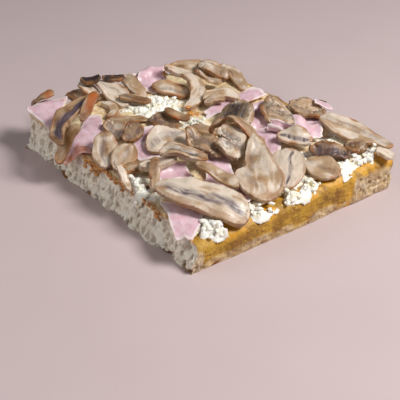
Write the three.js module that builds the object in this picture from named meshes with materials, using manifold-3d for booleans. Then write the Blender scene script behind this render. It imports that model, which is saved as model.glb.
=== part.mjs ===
// A corner piece of square pan pizza: a thick airy bread base that was baked against two sides of
// its pan and cut along the two others, a melted cheese layer over it, and slices of ham and of
// cooked mushroom that lie on and over each other. Millimetres, +Z up. +X points at the long pan
// side, the front cut face looks along -Y, and the origin is below the middle of the piece.
import Module from "manifold-3d";
import * as THREE from "three";
import { mergeVertices } from "three/addons/utils/BufferGeometryUtils.js";

const SLAB_X = 180;
const SLAB_Y = 168;
const PAN_CORNER = 9;
const TOP_AT = { left: 25, front: 17.5, right: 24.5, back: 14.5 };
const LEFT_SLANT = 9;
const TOP_SWELL = 0.4;
const CUT_LEAN = { left: 3, front: 8.5 };
const CRUMB_RELIEF = 0.8;
const CRUMB_SIZE = 6;
const RAGGED_FOOT = 2.6;
const SHOULDER = 6.5;
const FOOT_ROUND = 0.9;
const SIDE_LEVELS = [0, 0.09, 0.26, 0.44, 0.62, 0.79, 0.92, 1];
const GAP = 0.3;

const CHEESE_MARGIN = 3;
const CHEESE_THICK = 2.1;
const CHEESE_LUMP = 0.9;
const CHEESE_RIM = 1.3;
const SHRED = { length: 5, width: 1.9, height: 1.8 };

const HAM_THICK = 1.5;
const MUSHROOM_THICK = 2.6;
const HAM_CLOTH = { limpness: 0.09, evening: 5 };
const MUSHROOM_CLOTH = { limpness: 0.03, evening: 12 };
const REST_GAP = 0.34;
const MAP_CELL = 1;
const MAP_REACH = 116;
const SAG_ROUNDS = 120;
const FILL_ROUNDS = 3;
const LEAN_TOWARD = THREE.MathUtils.degToRad(140);
const RAGGED_SIDE = 0.14;
const RAGGED_TEAR = 0.22;
const RAGGED_END = 0.06;

const HAM_PINK = 0xdba6a4;
const MUSHROOM_TAN = 0xb49a78;
const CHEESE_CREAM = 0xe9e2bd;
const BREAD_GOLD = 0xd8b877;

// The slices in the order they were laid, lowest first, each with the middle of its place in plan
// and its turn from +X. A ham slice is a torn leaf: its size is its length, its width at its start
// and its width at its end, and it has folds across its length, their height and their number. A
// cap slice of mushroom is an oval, egg-shaped or hollow on its right side where the row says so,
// and a whole slice has its stem at its start. In degrees: bend is how far a slice arches along
// its length, roll how far across it, hook how far it turns sideways, and lean how steeply it
// rises away from the front, against the slices behind it.
const SLICES = [
  { name: "ham_left_corner", at: [-75, -73], turn: -25, size: [32, 30, 5], folds: [0.8, 1.2], lean: 4, hook: -36 },
  { name: "mushroom_toasted_bit", at: [-92, -68], turn: 50, size: [14, 10], roll: -30, lean: 14, thick: 2.4 },
  { name: "ham_left_drape", at: [-40.5, -65], turn: -39, size: [48, 9, 24], folds: [0.7, 2] },
  { name: "mushroom_wedge_left", at: [-36, -84], turn: 105, size: [20, 10], hollow: 0.5, roll: -35,
    thick: 2.6, lean: 26 },
  { name: "ham_back", at: [-82, 14], turn: -30, size: [28, 20, 20], folds: [3, 1.6], lean: 18 },
  { name: "ham_strip", at: [-24, 41], turn: 93, size: [49, 8, 13], folds: [0.6, 1], lean: 6 },
  { name: "ham_right_fold", at: [5, 39], turn: -40, size: [24, 14, 15], folds: [2.4, 1.7], lean: 16 },
  { name: "ham_middle_right", at: [30, 23], turn: -38, size: [31, 15, 18], folds: [0.8, 1], lean: 4 },
  { name: "ham_behind", at: [22, 69], turn: -28, size: [26, 16, 18], folds: [1.4, 1.5], lean: 8 },
  { name: "ham_middle", at: [-8, -44], turn: -20, size: [28, 13, 15], folds: [1, 1.4], lean: 16 },
  { name: "ham_centre", at: [40, -26], turn: -30, size: [36, 12, 20], folds: [1.9, 1.8], lean: 8 },
  { name: "ham_front_corner", at: [67.5, -71.5], turn: -40, size: [32, 27, 8], folds: [0.7, 1] },
  { name: "ham_rolled_rim", at: [30, -50], turn: 74, size: [18, 14, 15], folds: [0.6, 1], roll: 130, lean: 12 },
  { name: "ham_front_right", at: [70, -29], turn: 5, size: [12, 8, 9], folds: [0.8, 1], lean: 10 },
  { name: "mushroom_dark_curl", at: [-87, -45], turn: 5, size: [18, 11], hollow: 0.3, roll: 60, lean: 20 },
  { name: "mushroom_spotted", at: [-85, -36], turn: 24, size: [14, 11], roll: 20, lean: 10 },
  { name: "mushroom_left_stem", at: [-82, -4], turn: -8, size: [36, 9], hook: 25, bend: -25, roll: -25,
    lean: 12, thick: 4 },
  { name: "mushroom_left_broad", at: [-76, -24], turn: 8, size: [30, 19], hollow: 0.3, bend: -14, roll: 25,
    lean: 10 },
  { name: "mushroom_dark_bit_left", at: [-86, -34], turn: 60, size: [13, 7], bend: 30, lean: 10 },
  { name: "mushroom_dark_bit_back", at: [-87, -15], turn: 70, size: [15, 6], bend: 25, lean: 8, thick: 2.4 },
  { name: "mushroom_ear", at: [-60, -33], turn: -20, size: [22, 5.5], hook: -150, lean: 4, thick: 3.5 },
  { name: "mushroom_arc", at: [-54, -75], turn: 118, size: [56, 11], hook: -100, bend: -6, roll: 16, lean: 8,
    thick: 3.6 },
  { name: "mushroom_thin_long", at: [-42, -34], turn: 58, size: [28, 7], hollow: 0.4, bend: -15, lean: 12,
    thick: 2.4 },
  { name: "mushroom_clump_left", at: [-33, -50], turn: 30, size: [16, 13], roll: 60, lean: 25 },
  { name: "mushroom_clump_right", at: [-16, -49], turn: 78, size: [12, 11], roll: 55, lean: 28 },
  { name: "mushroom_front_oval", at: [-12, -72], turn: -34, size: [23, 15], roll: -12, lean: 18, thick: 3.6 },
  { name: "mushroom_front_oval_right", at: [1, -67], turn: -55, size: [22, 13], roll: -15, lean: 15, thick: 3.6 },
  { name: "mushroom_olive_wedge", at: [13, -70], turn: 84, size: [19, 9], hollow: 0.5, roll: -35, lean: 8 },
  { name: "mushroom_stem_block", at: [21, -57], turn: 73, size: [22, 7], roll: 20, lean: 6, thick: 4.5 },
  { name: "mushroom_upright_stem", at: [29, -65], turn: -39, size: [19, 6], bend: -20, thick: 4 },
  { name: "mushroom_shadowed", at: [-25, -17], turn: 35, size: [18, 13], roll: 45, lean: 20 },
  { name: "mushroom_pale_large", at: [1, -34], turn: 87, size: [29, 19], roll: 40, lean: 20 },
  { name: "mushroom_hollow_curl", at: [26, -41], turn: 62, size: [28, 14], bend: -10, roll: 150, lean: 10 },
  { name: "mushroom_grey_back", at: [-62, 15], turn: 50, size: [24, 14], egg: 0.4, hollow: 0.3, lean: 16 },
  { name: "mushroom_back_top", at: [-84, 50], turn: 55, size: [32, 13], roll: -30, bend: -20, lean: 22 },
  { name: "mushroom_column", at: [-52, 30], turn: -16, size: [53, 10], hook: -150, roll: 20, lean: 12, thick: 4 },
  { name: "mushroom_ring", at: [-31, 35], turn: 50, size: [25, 7], hook: -80, lean: 25, thick: 3.5 },
  { name: "mushroom_back_small", at: [-27, 26], turn: 60, size: [13, 8], hollow: 0.4, roll: 25, lean: 12 },
  { name: "mushroom_back_slice", at: [-56, 68], turn: -13, size: [36, 11], hollow: 0.4, hook: -20, roll: -30,
    lean: 8 },
  { name: "mushroom_back_edge", at: [-69, 60], turn: 30, size: [23, 8], hook: -90, lean: 25, thick: 3.5 },
  { name: "mushroom_fold_left", at: [13, 48], turn: 50, size: [24, 21], roll: -30, lean: 13, ripple: 3,
    folds: [2, 1.2] },
  { name: "mushroom_fold_right", at: [21, 65], turn: 35, size: [23, 15], lean: 20, ripple: 2.5, folds: [1.5, 1.2] },
  { name: "ham_curl", at: [29, 38], turn: 38, size: [20, 14, 15], folds: [0.5, 1], roll: 200 },
  { name: "ham_peak", at: [42, 47], turn: 65, size: [17, 15, 7], folds: [0.8, 1], roll: -70, lean: 30 },
  { name: "mushroom_hood", at: [-2, 24], turn: -50, size: [18, 34], roll: -190, lean: 15 },
  { name: "mushroom_brown_long", at: [22, -22], turn: 5, size: [28, 13], roll: -40, lean: 22, ripple: 2,
    folds: [1.2, 1.3] },
  { name: "mushroom_whorl", at: [35, -6], turn: 140, size: [34, 11], lean: 32, thick: 5, hook: 235 },
  { name: "mushroom_arch", at: [22, 2], turn: 22, size: [46, 11], bend: -170, lean: 22 },
  { name: "mushroom_tan_flat", at: [77, 27], turn: 22, size: [21, 17], roll: -10, lean: 12 },
  { name: "mushroom_fan", at: [67, 6], turn: -45, size: [31, 23], egg: -0.2, bend: -10, roll: -12, lean: 14 },
  { name: "mushroom_stemmed", at: [59.5, -11], turn: -35, size: [51, 29], kind: "whole", hook: 20, bend: -20,
    lean: 11, thick: 3.6 },
  { name: "mushroom_grey_gilled", at: [44, 33], turn: 40, size: [21, 12], roll: -18, lean: 8 },
  { name: "mushroom_grey_black", at: [67, 42], turn: 40, size: [24, 13], roll: 60, lean: 20, ripple: 2.5,
    folds: [1.6, 1.4] },
  { name: "mushroom_small_round", at: [72, 59.5], turn: 45, size: [13, 10], roll: -60, lean: 15, thick: 4.5 },
  { name: "mushroom_right_large", at: [59, 73], turn: 26, size: [47, 27], egg: -0.2, hollow: 0.2, bend: 4,
    roll: -6, lean: 9 },
  { name: "mushroom_shoulder_oval", at: [87, 71], turn: 25, size: [11, 9], lean: 0 },
  { name: "mushroom_thin_edged", at: [53, -37], turn: 13, size: [29, 9], hollow: 0.4, lean: 20, thick: 2.4 },
  { name: "mushroom_front_large", at: [65.5, -58.5], turn: 34, size: [54, 23], egg: 0.3, hollow: 0.2,
    bend: -18, roll: -30, lean: 20, thick: 5 },
];

// Crumbled cheese that stayed in shreds, in patches between the slices.
const SHREDS = [
  { at: [-50, -9], size: [34, 14], turn: 55, count: 9 },
  { at: [-20, 0], size: [14, 6], turn: 55, count: 3 },
  { at: [49, 58], size: [14, 8], turn: 55, count: 3 },
  { at: [22, -73], size: [24, 7], turn: -10, count: 6 },
  { at: [78, -64], size: [18, 10], turn: 55, count: 7 },
  { at: [82, -28], size: [5, 18], turn: 0, count: 6 },
  { at: [82, 3], size: [5, 22], turn: 0, count: 6 },
  { at: [80, 38], size: [8, 40], turn: 0, count: 9 },
  { at: [78, 62], size: [8, 14], turn: 0, count: 4 },
  { at: [48, 26], size: [20, 6], turn: 20, count: 3 },
];

const wasm = await Module();
wasm.setup();

const mix = (a, b, part) => a + (b - a) * part;
const clamp01 = (value) => Math.min(1, Math.max(0, value));
const smooth = (value) => clamp01(value) ** 2 * (3 - 2 * clamp01(value));

function seeded(seed) {
  let state = seed * 7919 + 17;
  return () => {
    state = (state * 1103515245 + 12345) % 2147483648;
    return state / 2147483648;
  };
}

// Smooth noise from -1 to 1: a random value at each whole x and y, blended between them.
function noise(x, y, seed) {
  const value = (i, j) => {
    const s = Math.sin(i * 127.1 + j * 311.7 + seed * 74.7) * 43758.5453;
    return 2 * (s - Math.floor(s)) - 1;
  };
  const i = Math.floor(x);
  const j = Math.floor(y);
  const low = mix(value(i, j), value(i + 1, j), smooth(x - i));
  const high = mix(value(i, j + 1), value(i + 1, j + 1), smooth(x - i));
  return mix(low, high, smooth(y - j));
}

function breadTop(x, y) {
  const u = x / SLAB_X + 0.5;
  const v = y / SLAB_Y + 0.5;
  const front = mix(TOP_AT.left, TOP_AT.front, u);
  const back = mix(TOP_AT.back, TOP_AT.right, u);
  return mix(front, back, v) + TOP_SWELL * noise(x / 32, y / 32, 3);
}

// The left cut wasn't made square: the slab gets longer toward the back.
function slanted(x, y) {
  return x - LEFT_SLANT * (0.5 - x / SLAB_X) * (0.5 + y / SLAB_Y);
}

// The outline of the piece, anticlockwise from the left corner. Each station knows which faces it
// is on: one, or two at a cut corner.
function outlineStations() {
  const x = SLAB_X / 2;
  const y = SLAB_Y / 2;
  const front = { nx: 0, ny: -1, cut: true };
  const right = { nx: 1, ny: 0, cut: false };
  const back = { nx: 0, ny: 1, cut: false };
  const left = { nx: -1, ny: 0, cut: true };
  const stations = [];
  const run = (from, to, count, face, corner) => {
    for (let k = 0; k < count; k += 1) {
      const faces = k === 0 && corner ? [corner, face] : [face];
      stations.push({ x: mix(from[0], to[0], k / count), y: mix(from[1], to[1], k / count), faces });
    }
  };
  run([-x, -y], [x, -y], 32, front, left);
  run([x, -y], [x, y - PAN_CORNER], 24, right, front);
  for (let k = 0; k < 4; k += 1) {
    const angle = (k / 4) * (Math.PI / 2);
    const face = { nx: Math.cos(angle), ny: Math.sin(angle), cut: false };
    const centre = [x - PAN_CORNER, y - PAN_CORNER];
    stations.push({ x: centre[0] + PAN_CORNER * face.nx, y: centre[1] + PAN_CORNER * face.ny, faces: [face] });
  }
  run([x - PAN_CORNER, y], [-x, y], 24, back, null);
  run([-x, y], [-x, -y], 28, left, back);
  return stations.map((station) => ({ ...station, x: slanted(station.x, station.y) }));
}

// How far a cut face lies inside the outline: it leans in toward the top, its crumb is open and
// uneven, and its foot is ragged.
function cutInset(x, y, z) {
  const lean = mix(CUT_LEAN.left, CUT_LEAN.front, smooth(x / SLAB_X + 0.5));
  const along = x + y;
  const crumb = CRUMB_RELIEF * (noise(along / CRUMB_SIZE, z / CRUMB_SIZE, 11) + 0.6);
  const foot = RAGGED_FOOT * clamp01(1 - z / 2.5) * clamp01(noise(along / 9, 0, 12) + 0.4);
  return lean * (z / TOP_AT.left) + crumb + foot;
}

// How far a pan side lies inside the outline: a rounded shoulder above a nearly plumb side.
function panInset(x, y, z, top) {
  const over = clamp01((z - top + SHOULDER) / SHOULDER);
  const shoulder = SHOULDER * (1 - Math.sqrt(1 - over * over));
  const foot = FOOT_ROUND * clamp01(1 - z / 2);
  return shoulder + foot + 0.5 * (noise((x - y) / 14, z / 9, 21) + 1);
}

function sidePoint(station, level) {
  const top = breadTop(station.x, station.y);
  let { x, y } = station;
  for (const face of station.faces) {
    const z = top * level;
    const inset = face.cut ? cutInset(station.x, station.y, z) : panInset(station.x, station.y, z, top);
    x -= face.nx * inset;
    y -= face.ny * inset;
  }
  return new THREE.Vector3(x, y, level === 1 ? breadTop(x, y) : top * level);
}

// Strips of triangles between two closed rings of vertex numbers. The inner ring has as many
// vertices as the outer one, or a whole fraction of them.
function strip(faces, outer, inner) {
  const ratio = outer.length / inner.length;
  inner.forEach((vertex, k) => {
    const next = inner[(k + 1) % inner.length];
    for (let j = 0; j < ratio; j += 1) {
      faces.push([outer[k * ratio + j], outer[(k * ratio + j + 1) % outer.length], vertex]);
    }
    faces.push([outer[((k + 1) * ratio) % outer.length], next, vertex]);
  });
}

function fan(faces, ring, centre) {
  ring.forEach((vertex, k) => faces.push([vertex, ring[(k + 1) % ring.length], centre]));
}

// Rings of points from an outline in to its middle, with the height from a function of x and y.
function drawnIn(points, outline, shares, height) {
  return shares.map(({ share, every }) => outline.filter((_, k) => k % every === 0).map((point) => {
    points.push(new THREE.Vector3(point.x * share, point.y * share, height(point.x * share, point.y * share)));
    return points.length - 1;
  }));
}

function solidGeometry(points, faces) {
  const geometry = new THREE.BufferGeometry();
  geometry.setAttribute("position", new THREE.Float32BufferAttribute(points.flatMap((p) => [p.x, p.y, p.z]), 3));
  geometry.setIndex(faces.flat());
  return geometry;
}

function addRing(points, ring) {
  return ring.map((point) => points.push(point) - 1);
}

// The bread: side rings from the flat foot to the top edge, then rings over the top to the middle.
function breadGeometry() {
  const points = [];
  const faces = [];
  const stations = outlineStations();
  const rings = SIDE_LEVELS.map((level) => addRing(points, stations.map((station) => sidePoint(station, level))));
  rings.slice(1).forEach((ring, k) => strip(faces, rings[k], ring));
  const edge = rings.at(-1).map((index) => points[index]);
  const shares = [{ share: 0.87, every: 1 }, { share: 0.6, every: 4 }, { share: 0.3, every: 4 }];
  const tops = drawnIn(points, edge, shares, breadTop);
  strip(faces, rings.at(-1), tops[0]);
  strip(faces, tops[0], tops[1]);
  strip(faces, tops[1], tops[2]);
  fan(faces, tops[2], points.push(new THREE.Vector3(0, 0, breadTop(0, 0))) - 1);
  const foot = points.push(new THREE.Vector3(0, 0, 0)) - 1;
  rings[0].forEach((vertex, k) => faces.push([rings[0][(k + 1) % rings[0].length], vertex, foot]));
  return { geometry: solidGeometry(points, faces), edge };
}

function cheeseTop(x, y) {
  const lumps = noise(x / 9, y / 9, 31) + 0.5 * noise(x / 4.5, y / 4.5, 32);
  return breadTop(x, y) + GAP + CHEESE_THICK + CHEESE_LUMP * lumps;
}

// The melted cheese: flush with the two cut faces, short of the two pan sides, thin at its rim.
function cheeseGeometry(breadEdge) {
  const squeeze = (value, span) => value - CHEESE_MARGIN * clamp01(value / span + 0.5);
  const outline = breadEdge.map((p) => ({ x: squeeze(p.x, SLAB_X), y: squeeze(p.y, SLAB_Y) }));
  const points = [];
  const faces = [];
  const under = (x, y) => breadTop(x, y) + GAP;
  const whole = [{ share: 1, every: 1 }];
  const [low] = drawnIn(points, outline, whole, under);
  const [high] = drawnIn(points, outline, whole, (x, y) => mix(under(x, y) + CHEESE_RIM, cheeseTop(x, y), 0.35));
  strip(faces, low, high);
  const shares = [[0.96, 1], [0.88, 1], [0.76, 2], [0.62, 2], [0.46, 2], [0.28, 4]];
  const rings = [high, ...drawnIn(points, outline, shares.map(([share, every]) => ({ share, every })), cheeseTop)];
  rings.slice(1).forEach((ring, k) => strip(faces, rings[k], ring));
  fan(faces, rings.at(-1), points.push(new THREE.Vector3(0, 0, cheeseTop(0, 0))) - 1);
  const downward = [];
  const bottoms = drawnIn(points, outline, [{ share: 0.6, every: 4 }, { share: 0.3, every: 4 }], under);
  strip(downward, low, bottoms[0]);
  strip(downward, bottoms[0], bottoms[1]);
  fan(downward, bottoms[1], points.push(new THREE.Vector3(0, 0, under(0, 0))) - 1);
  downward.forEach(([a, b, c]) => faces.push([a, c, b]));
  return solidGeometry(points, faces);
}

function toManifold(geometry) {
  const plain = geometry.clone();
  plain.deleteAttribute("normal");
  plain.deleteAttribute("uv");
  const merged = mergeVertices(plain, 1e-4);
  const mesh = new wasm.Mesh({
    numProp: 3,
    vertProperties: new Float32Array(merged.attributes.position.array),
    triVerts: new Uint32Array(merged.index.array),
  });
  return new wasm.Manifold(mesh);
}

function fromManifold(solid) {
  const mesh = solid.getMesh();
  const geometry = new THREE.BufferGeometry();
  geometry.setAttribute("position", new THREE.Float32BufferAttribute(mesh.vertProperties, 3));
  geometry.setIndex([...mesh.triVerts]);
  return geometry;
}

// One shred of cheese: a short bar on its edge, sunk into the melted layer to half its height.
function shredSolid(x, y, angle, scale) {
  const bar = new THREE.CylinderGeometry(SHRED.width / 2, SHRED.width / 2, SHRED.length * scale, 4);
  bar.scale(1, 1, SHRED.height / SHRED.width);
  bar.rotateZ(angle);
  bar.translate(x, y, cheeseTop(x, y) + SHRED.height * 0.2);
  return toManifold(bar);
}

// Fuses the shreds on, fills any pocket that they close and drops any scrap that they leave loose.
function withShreds(geometry) {
  let solid = toManifold(geometry);
  SHREDS.forEach(({ at, size, turn, count }, patch) => {
    const random = seeded(patch + 40);
    const angle = THREE.MathUtils.degToRad(turn);
    for (let k = 0; k < count; k += 1) {
      const a = size[0] * (random() - 0.5);
      const b = size[1] * (random() - 0.5);
      const x = at[0] + a * Math.cos(angle) - b * Math.sin(angle);
      const y = at[1] + a * Math.sin(angle) + b * Math.cos(angle);
      solid = solid.add(shredSolid(x, y, random() * Math.PI, mix(0.7, 1.2, random())));
    }
  });
  const bodies = solid.decompose().sort((a, b) => b.volume() - a.volume());
  return fromManifold(bodies[0]);
}

// The height of all that lies in place so far, on a square map of cells.
class HeightMap {
  constructor() {
    this.count = (2 * MAP_REACH) / MAP_CELL;
    this.height = new Float64Array(this.count * this.count);
  }

  // Calls visit(i, j, z) for each cell centre that lies below or above a triangle, and for the
  // cell of each corner, so that thin parts count too.
  cover(geometry, visit) {
    const position = geometry.attributes.position;
    const index = geometry.index.array;
    const corner = (k) => ({
      x: (position.getX(index[k]) + MAP_REACH) / MAP_CELL - 0.5,
      y: (position.getY(index[k]) + MAP_REACH) / MAP_CELL - 0.5,
      z: position.getZ(index[k]),
    });
    for (let k = 0; k < index.length; k += 3) {
      const [a, b, c] = [corner(k), corner(k + 1), corner(k + 2)];
      const area = (b.x - a.x) * (c.y - a.y) - (b.y - a.y) * (c.x - a.x);
      visit(Math.round(a.x), Math.round(a.y), a.z);
      if (Math.abs(area) < 1e-6) continue;
      for (let j = Math.ceil(Math.min(a.y, b.y, c.y)); j <= Math.max(a.y, b.y, c.y); j += 1) {
        for (let i = Math.ceil(Math.min(a.x, b.x, c.x)); i <= Math.max(a.x, b.x, c.x); i += 1) {
          const v = ((i - a.x) * (c.y - a.y) - (j - a.y) * (c.x - a.x)) / area;
          const w = ((b.x - a.x) * (j - a.y) - (b.y - a.y) * (i - a.x)) / area;
          if (v >= 0 && w >= 0 && v + w <= 1) visit(i, j, a.z + v * (b.z - a.z) + w * (c.z - a.z));
        }
      }
    }
  }

  // Takes a solid into the map, widened by a cell so that slopes between cell centres count.
  raise(geometry) {
    this.cover(geometry, (i, j, z) => {
      for (let row = j - 1; row <= j + 1; row += 1) {
        for (let cell = row * this.count + i - 1; cell <= row * this.count + i + 1; cell += 1) {
          this.height[cell] = Math.max(this.height[cell], z);
        }
      }
    });
  }

  // How far a solid has to rise at each of its cells to lie just above what is there, as a small
  // field of its own, not a number where the solid has no cell.
  lift(geometry) {
    geometry.computeBoundingBox();
    const { min, max } = geometry.boundingBox;
    const left = Math.floor((min.x + MAP_REACH) / MAP_CELL) - 2;
    const front = Math.floor((min.y + MAP_REACH) / MAP_CELL) - 2;
    const columns = Math.ceil((max.x - min.x) / MAP_CELL) + 5;
    const rows = Math.ceil((max.y - min.y) / MAP_CELL) + 5;
    const need = new Float64Array(columns * rows).fill(NaN);
    this.cover(geometry, (i, j, z) => {
      const cell = (j - front) * columns + i - left;
      const rise = this.height[j * this.count + i] + REST_GAP - z;
      need[cell] = Number.isNaN(need[cell]) ? rise : Math.max(need[cell], rise);
    });
    return { need, left, front, columns };
  }
}

const highest = (field) => field.reduce((most, value) => (value > most ? value : most), -Infinity);

// The mean of a field over a cell and its four neighbours, where it has a value there.
function average(field, cell, columns) {
  let sum = 0;
  let found = 0;
  for (const side of [cell, cell - 1, cell + 1, cell - columns, cell + columns]) {
    if (field[side] === field[side]) {
      sum += field[side];
      found += 1;
    }
  }
  return sum / found;
}

// Lets a limp sheet down on what holds it up: each round the sheet is pulled toward its
// neighbours and sinks a little, but it never goes below its supports. Last it is evened out, more
// where it is stiff.
function sag({ need, columns }, { limpness, evening }) {
  let sheet = need.slice();
  const sink = (limpness * MAP_CELL * MAP_CELL) / 5;
  for (let round = 0; round < SAG_ROUNDS; round += 1) {
    sheet = sheet.map((own, cell) => (own === own ? Math.max(need[cell], average(sheet, cell, columns) - sink) : own));
  }
  for (let round = 0; round < evening; round += 1) {
    sheet = sheet.map((own, cell) => (own === own ? average(sheet, cell, columns) : own));
  }
  for (let round = 0; round < FILL_ROUNDS; round += 1) {
    sheet = sheet.map((own, cell) => (own === own ? own : average(sheet, cell, columns)));
  }
  return sheet;
}

// Outlines, as places in the plane of the slice for s along it and t from side to side.
const OUTLINES = {
  cap(s, t, { size, egg = 0, hollow = 0, seed }) {
    const angle = Math.PI * mix(0.1, 0.9, s);
    const along = (-0.5 * size[0] * Math.cos(angle)) / Math.cos(0.1 * Math.PI);
    const tip = 0.026 * size[0] * (1 - t * t) * (2 * s - 1) ** 5;
    const uneven = 1 + RAGGED_SIDE * noise(s * 3.3, t > 0 ? 5 : 9, seed);
    const half = 0.5 * size[1] * Math.sin(angle) * (1 + egg * (2 * s - 1)) * uneven;
    const drawn = t < 0 ? 1 - hollow * Math.sin(angle) ** 2 : 1;
    return [along + tip, half * drawn * t];
  },
  whole(s, t, { size }) {
    const stem = mix(0.13, 0.22, smooth(s / 0.3));
    const flare = t > 0 ? smooth((s - 0.2) / 0.62) : smooth((s - 0.42) / 0.26);
    const crown = Math.sqrt(1 - 0.7 * clamp01((s - 0.7) / 0.3) ** 2);
    const trail = (t < 0 ? 0.1 * flare * (1 - s) : 0) + 0.03 * smooth((s - 0.7) / 0.3);
    const along = size[0] * (s - 0.5 - trail * t * t + 0.03 * (1 - t * t) * s ** 5);
    return [along, mix(stem, 0.5 * crown, flare) * size[1] * t];
  },
  leaf(s, t, { size, seed }) {
    const tear = 1 + RAGGED_TEAR * noise(s * 3.1, t > 0 ? 5 : 9, seed);
    const ends = RAGGED_END * size[0] * noise(t * 1.6, s > 0.5 ? 2 : 7, seed);
    return [size[0] * (s - 0.5) + ends, 0.5 * mix(size[1], size[2], s) * tear * t];
  },
};

// Arches a strip: the distance along it wraps round a circle, with its height kept from the circle.
function arch(along, height, degrees, length) {
  const radius = length / THREE.MathUtils.degToRad(degrees || 0.1);
  const angle = along / radius;
  return [(radius - height) * Math.sin(angle), radius - (radius - height) * Math.cos(angle)];
}

// The middle surface of one slice, a grid of points at its place in plan, and how much higher each
// of them lies because the slice leans.
function sliceGrid(piece, rows, columns) {
  const { at, turn, size, bend = 0, roll = 0, hook = 0, lean = 0, folds = [0, 1], ripple, seed } = piece;
  const width = Math.max(...size.slice(1));
  const slope = Math.tan(THREE.MathUtils.degToRad(lean));
  const grid = [];
  const rises = [];
  for (let i = 0; i <= rows; i += 1) {
    for (let j = 0; j <= columns; j += 1) {
      const s = i / rows;
      const t = (2 * j) / columns - 1;
      const [a, b] = OUTLINES[piece.kind](s, t, piece);
      const fold = folds[0] * Math.sin(2 * Math.PI * (folds[1] * s + 0.15 * t) + seed);
      const height = fold + ripple * noise(a / 9, b / 9, seed);
      const [rolled, raised] = arch(b, height, roll, width);
      const [forward, lifted] = arch(a, raised, bend, size[0]);
      const [along, across] = arch(forward, rolled, hook, size[0]);
      const point = new THREE.Vector3(along, across, lifted);
      point.applyAxisAngle(new THREE.Vector3(0, 0, 1), THREE.MathUtils.degToRad(turn));
      rises.push(slope * (point.x * Math.cos(LEAN_TOWARD) + point.y * Math.sin(LEAN_TOWARD)));
      grid.push(point.add(new THREE.Vector3(at[0], at[1], 0)));
    }
  }
  return { grid, rises, rows, columns };
}

// Gives a grid of points its thickness: both faces lie half of it to each side, along the normal.
// The squares at its four corners are split from the corner inward, so that none folds over.
function thicken({ grid, rows, columns }, thick) {
  const at = (i, j) => i * (columns + 1) + j;
  const near = (value, most) => Math.min(most, Math.max(0, value));
  const upper = [];
  const lower = [];
  for (let i = 0; i <= rows; i += 1) {
    for (let j = 0; j <= columns; j += 1) {
      const along = grid[at(near(i + 1, rows), j)].clone().sub(grid[at(near(i - 1, rows), j)]);
      const across = grid[at(i, near(j + 1, columns))].clone().sub(grid[at(i, near(j - 1, columns))]);
      const rim = Math.max(Math.abs((2 * i) / rows - 1), Math.abs((2 * j) / columns - 1));
      const half = 0.5 * thick * (1 - 0.35 * rim ** 4);
      const normal = along.cross(across).normalize().multiplyScalar(half);
      upper.push(grid[at(i, j)].clone().add(normal));
      lower.push(grid[at(i, j)].clone().sub(normal));
    }
  }
  const faces = [];
  const count = grid.length;
  for (let i = 0; i < rows; i += 1) {
    for (let j = 0; j < columns; j += 1) {
      const quad = [at(i, j), at(i + 1, j), at(i + 1, j + 1), at(i, j + 1)];
      const atCorner = (i === 0 && j === columns - 1) || (i === rows - 1 && j === 0);
      const [a, b, c, d] = atCorner ? [...quad.slice(1), quad[0]] : quad;
      faces.push([a, b, c], [a, c, d], [count + a, count + c, count + b], [count + a, count + d, count + c]);
    }
  }
  const rim = [];
  for (let i = 0; i < rows; i += 1) rim.push(at(i, 0));
  for (let j = 0; j < columns; j += 1) rim.push(at(rows, j));
  for (let i = rows; i > 0; i -= 1) rim.push(at(i, columns));
  for (let j = columns; j > 0; j -= 1) rim.push(at(0, j));
  rim.forEach((a, k) => {
    const b = rim[(k + 1) % rim.length];
    faces.push([b, a, count + a], [b, count + a, count + b]);
  });
  return solidGeometry([...upper, ...lower], faces);
}

// Lays a slice on what is already there: it sags over its supports, leans against what lies behind
// it, then rises or drops as a whole until it just clears all of them.
function laySlice(map, slice, thick, cloth) {
  const patch = map.lift(thicken(slice, thick));
  const sheet = sag(patch, cloth);
  slice.grid.forEach((point, k) => {
    const i = Math.round((point.x + MAP_REACH) / MAP_CELL - 0.5) - patch.left;
    const j = Math.round((point.y + MAP_REACH) / MAP_CELL - 0.5) - patch.front;
    point.z += sheet[j * patch.columns + i] + slice.rises[k];
  });
  const settle = highest(map.lift(thicken(slice, thick)).need);
  for (const point of slice.grid) point.z += settle;
  const geometry = thicken(slice, thick);
  map.raise(geometry);
  return geometry;
}

const pizza = new THREE.Group();

function addMesh(name, geometry, color, roughness) {
  geometry.computeVertexNormals();
  const mesh = new THREE.Mesh(geometry, new THREE.MeshStandardMaterial({ color, roughness, metalness: 0 }));
  mesh.name = name;
  pizza.add(mesh);
}

const map = new HeightMap();
const bread = breadGeometry();
const cheese = withShreds(cheeseGeometry(bread.edge));
map.raise(bread.geometry);
map.raise(cheese);
addMesh("bread", bread.geometry, BREAD_GOLD, 0.8);
addMesh("cheese", cheese, CHEESE_CREAM, 0.5);

SLICES.forEach((cut, k) => {
  if (cut.name.startsWith("ham")) {
    const slice = sliceGrid({ ...cut, kind: "leaf", seed: k + 1, ripple: 0.4 }, 8, 4);
    addMesh(cut.name, laySlice(map, slice, HAM_THICK, HAM_CLOTH), HAM_PINK, 0.45);
  } else {
    const turns = cut.size[0] / 5 + Math.abs(cut.hook ?? 0) / 45;
    const rows = Math.round(THREE.MathUtils.clamp(turns, 4, 9));
    const columns = cut.size[1] > 12 ? 4 : 3;
    const slice = sliceGrid({ kind: "cap", ripple: 1.2, ...cut, seed: k + 1 }, rows, columns);
    addMesh(cut.name, laySlice(map, slice, cut.thick ?? MUSHROOM_THICK, MUSHROOM_CLOTH), MUSHROOM_TAN, 0.5);
  }
});

const middle = new THREE.Box3().setFromObject(pizza, true).getCenter(new THREE.Vector3());
pizza.position.set(-middle.x, -middle.y, 0);

export default pizza;
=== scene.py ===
import math

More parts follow.
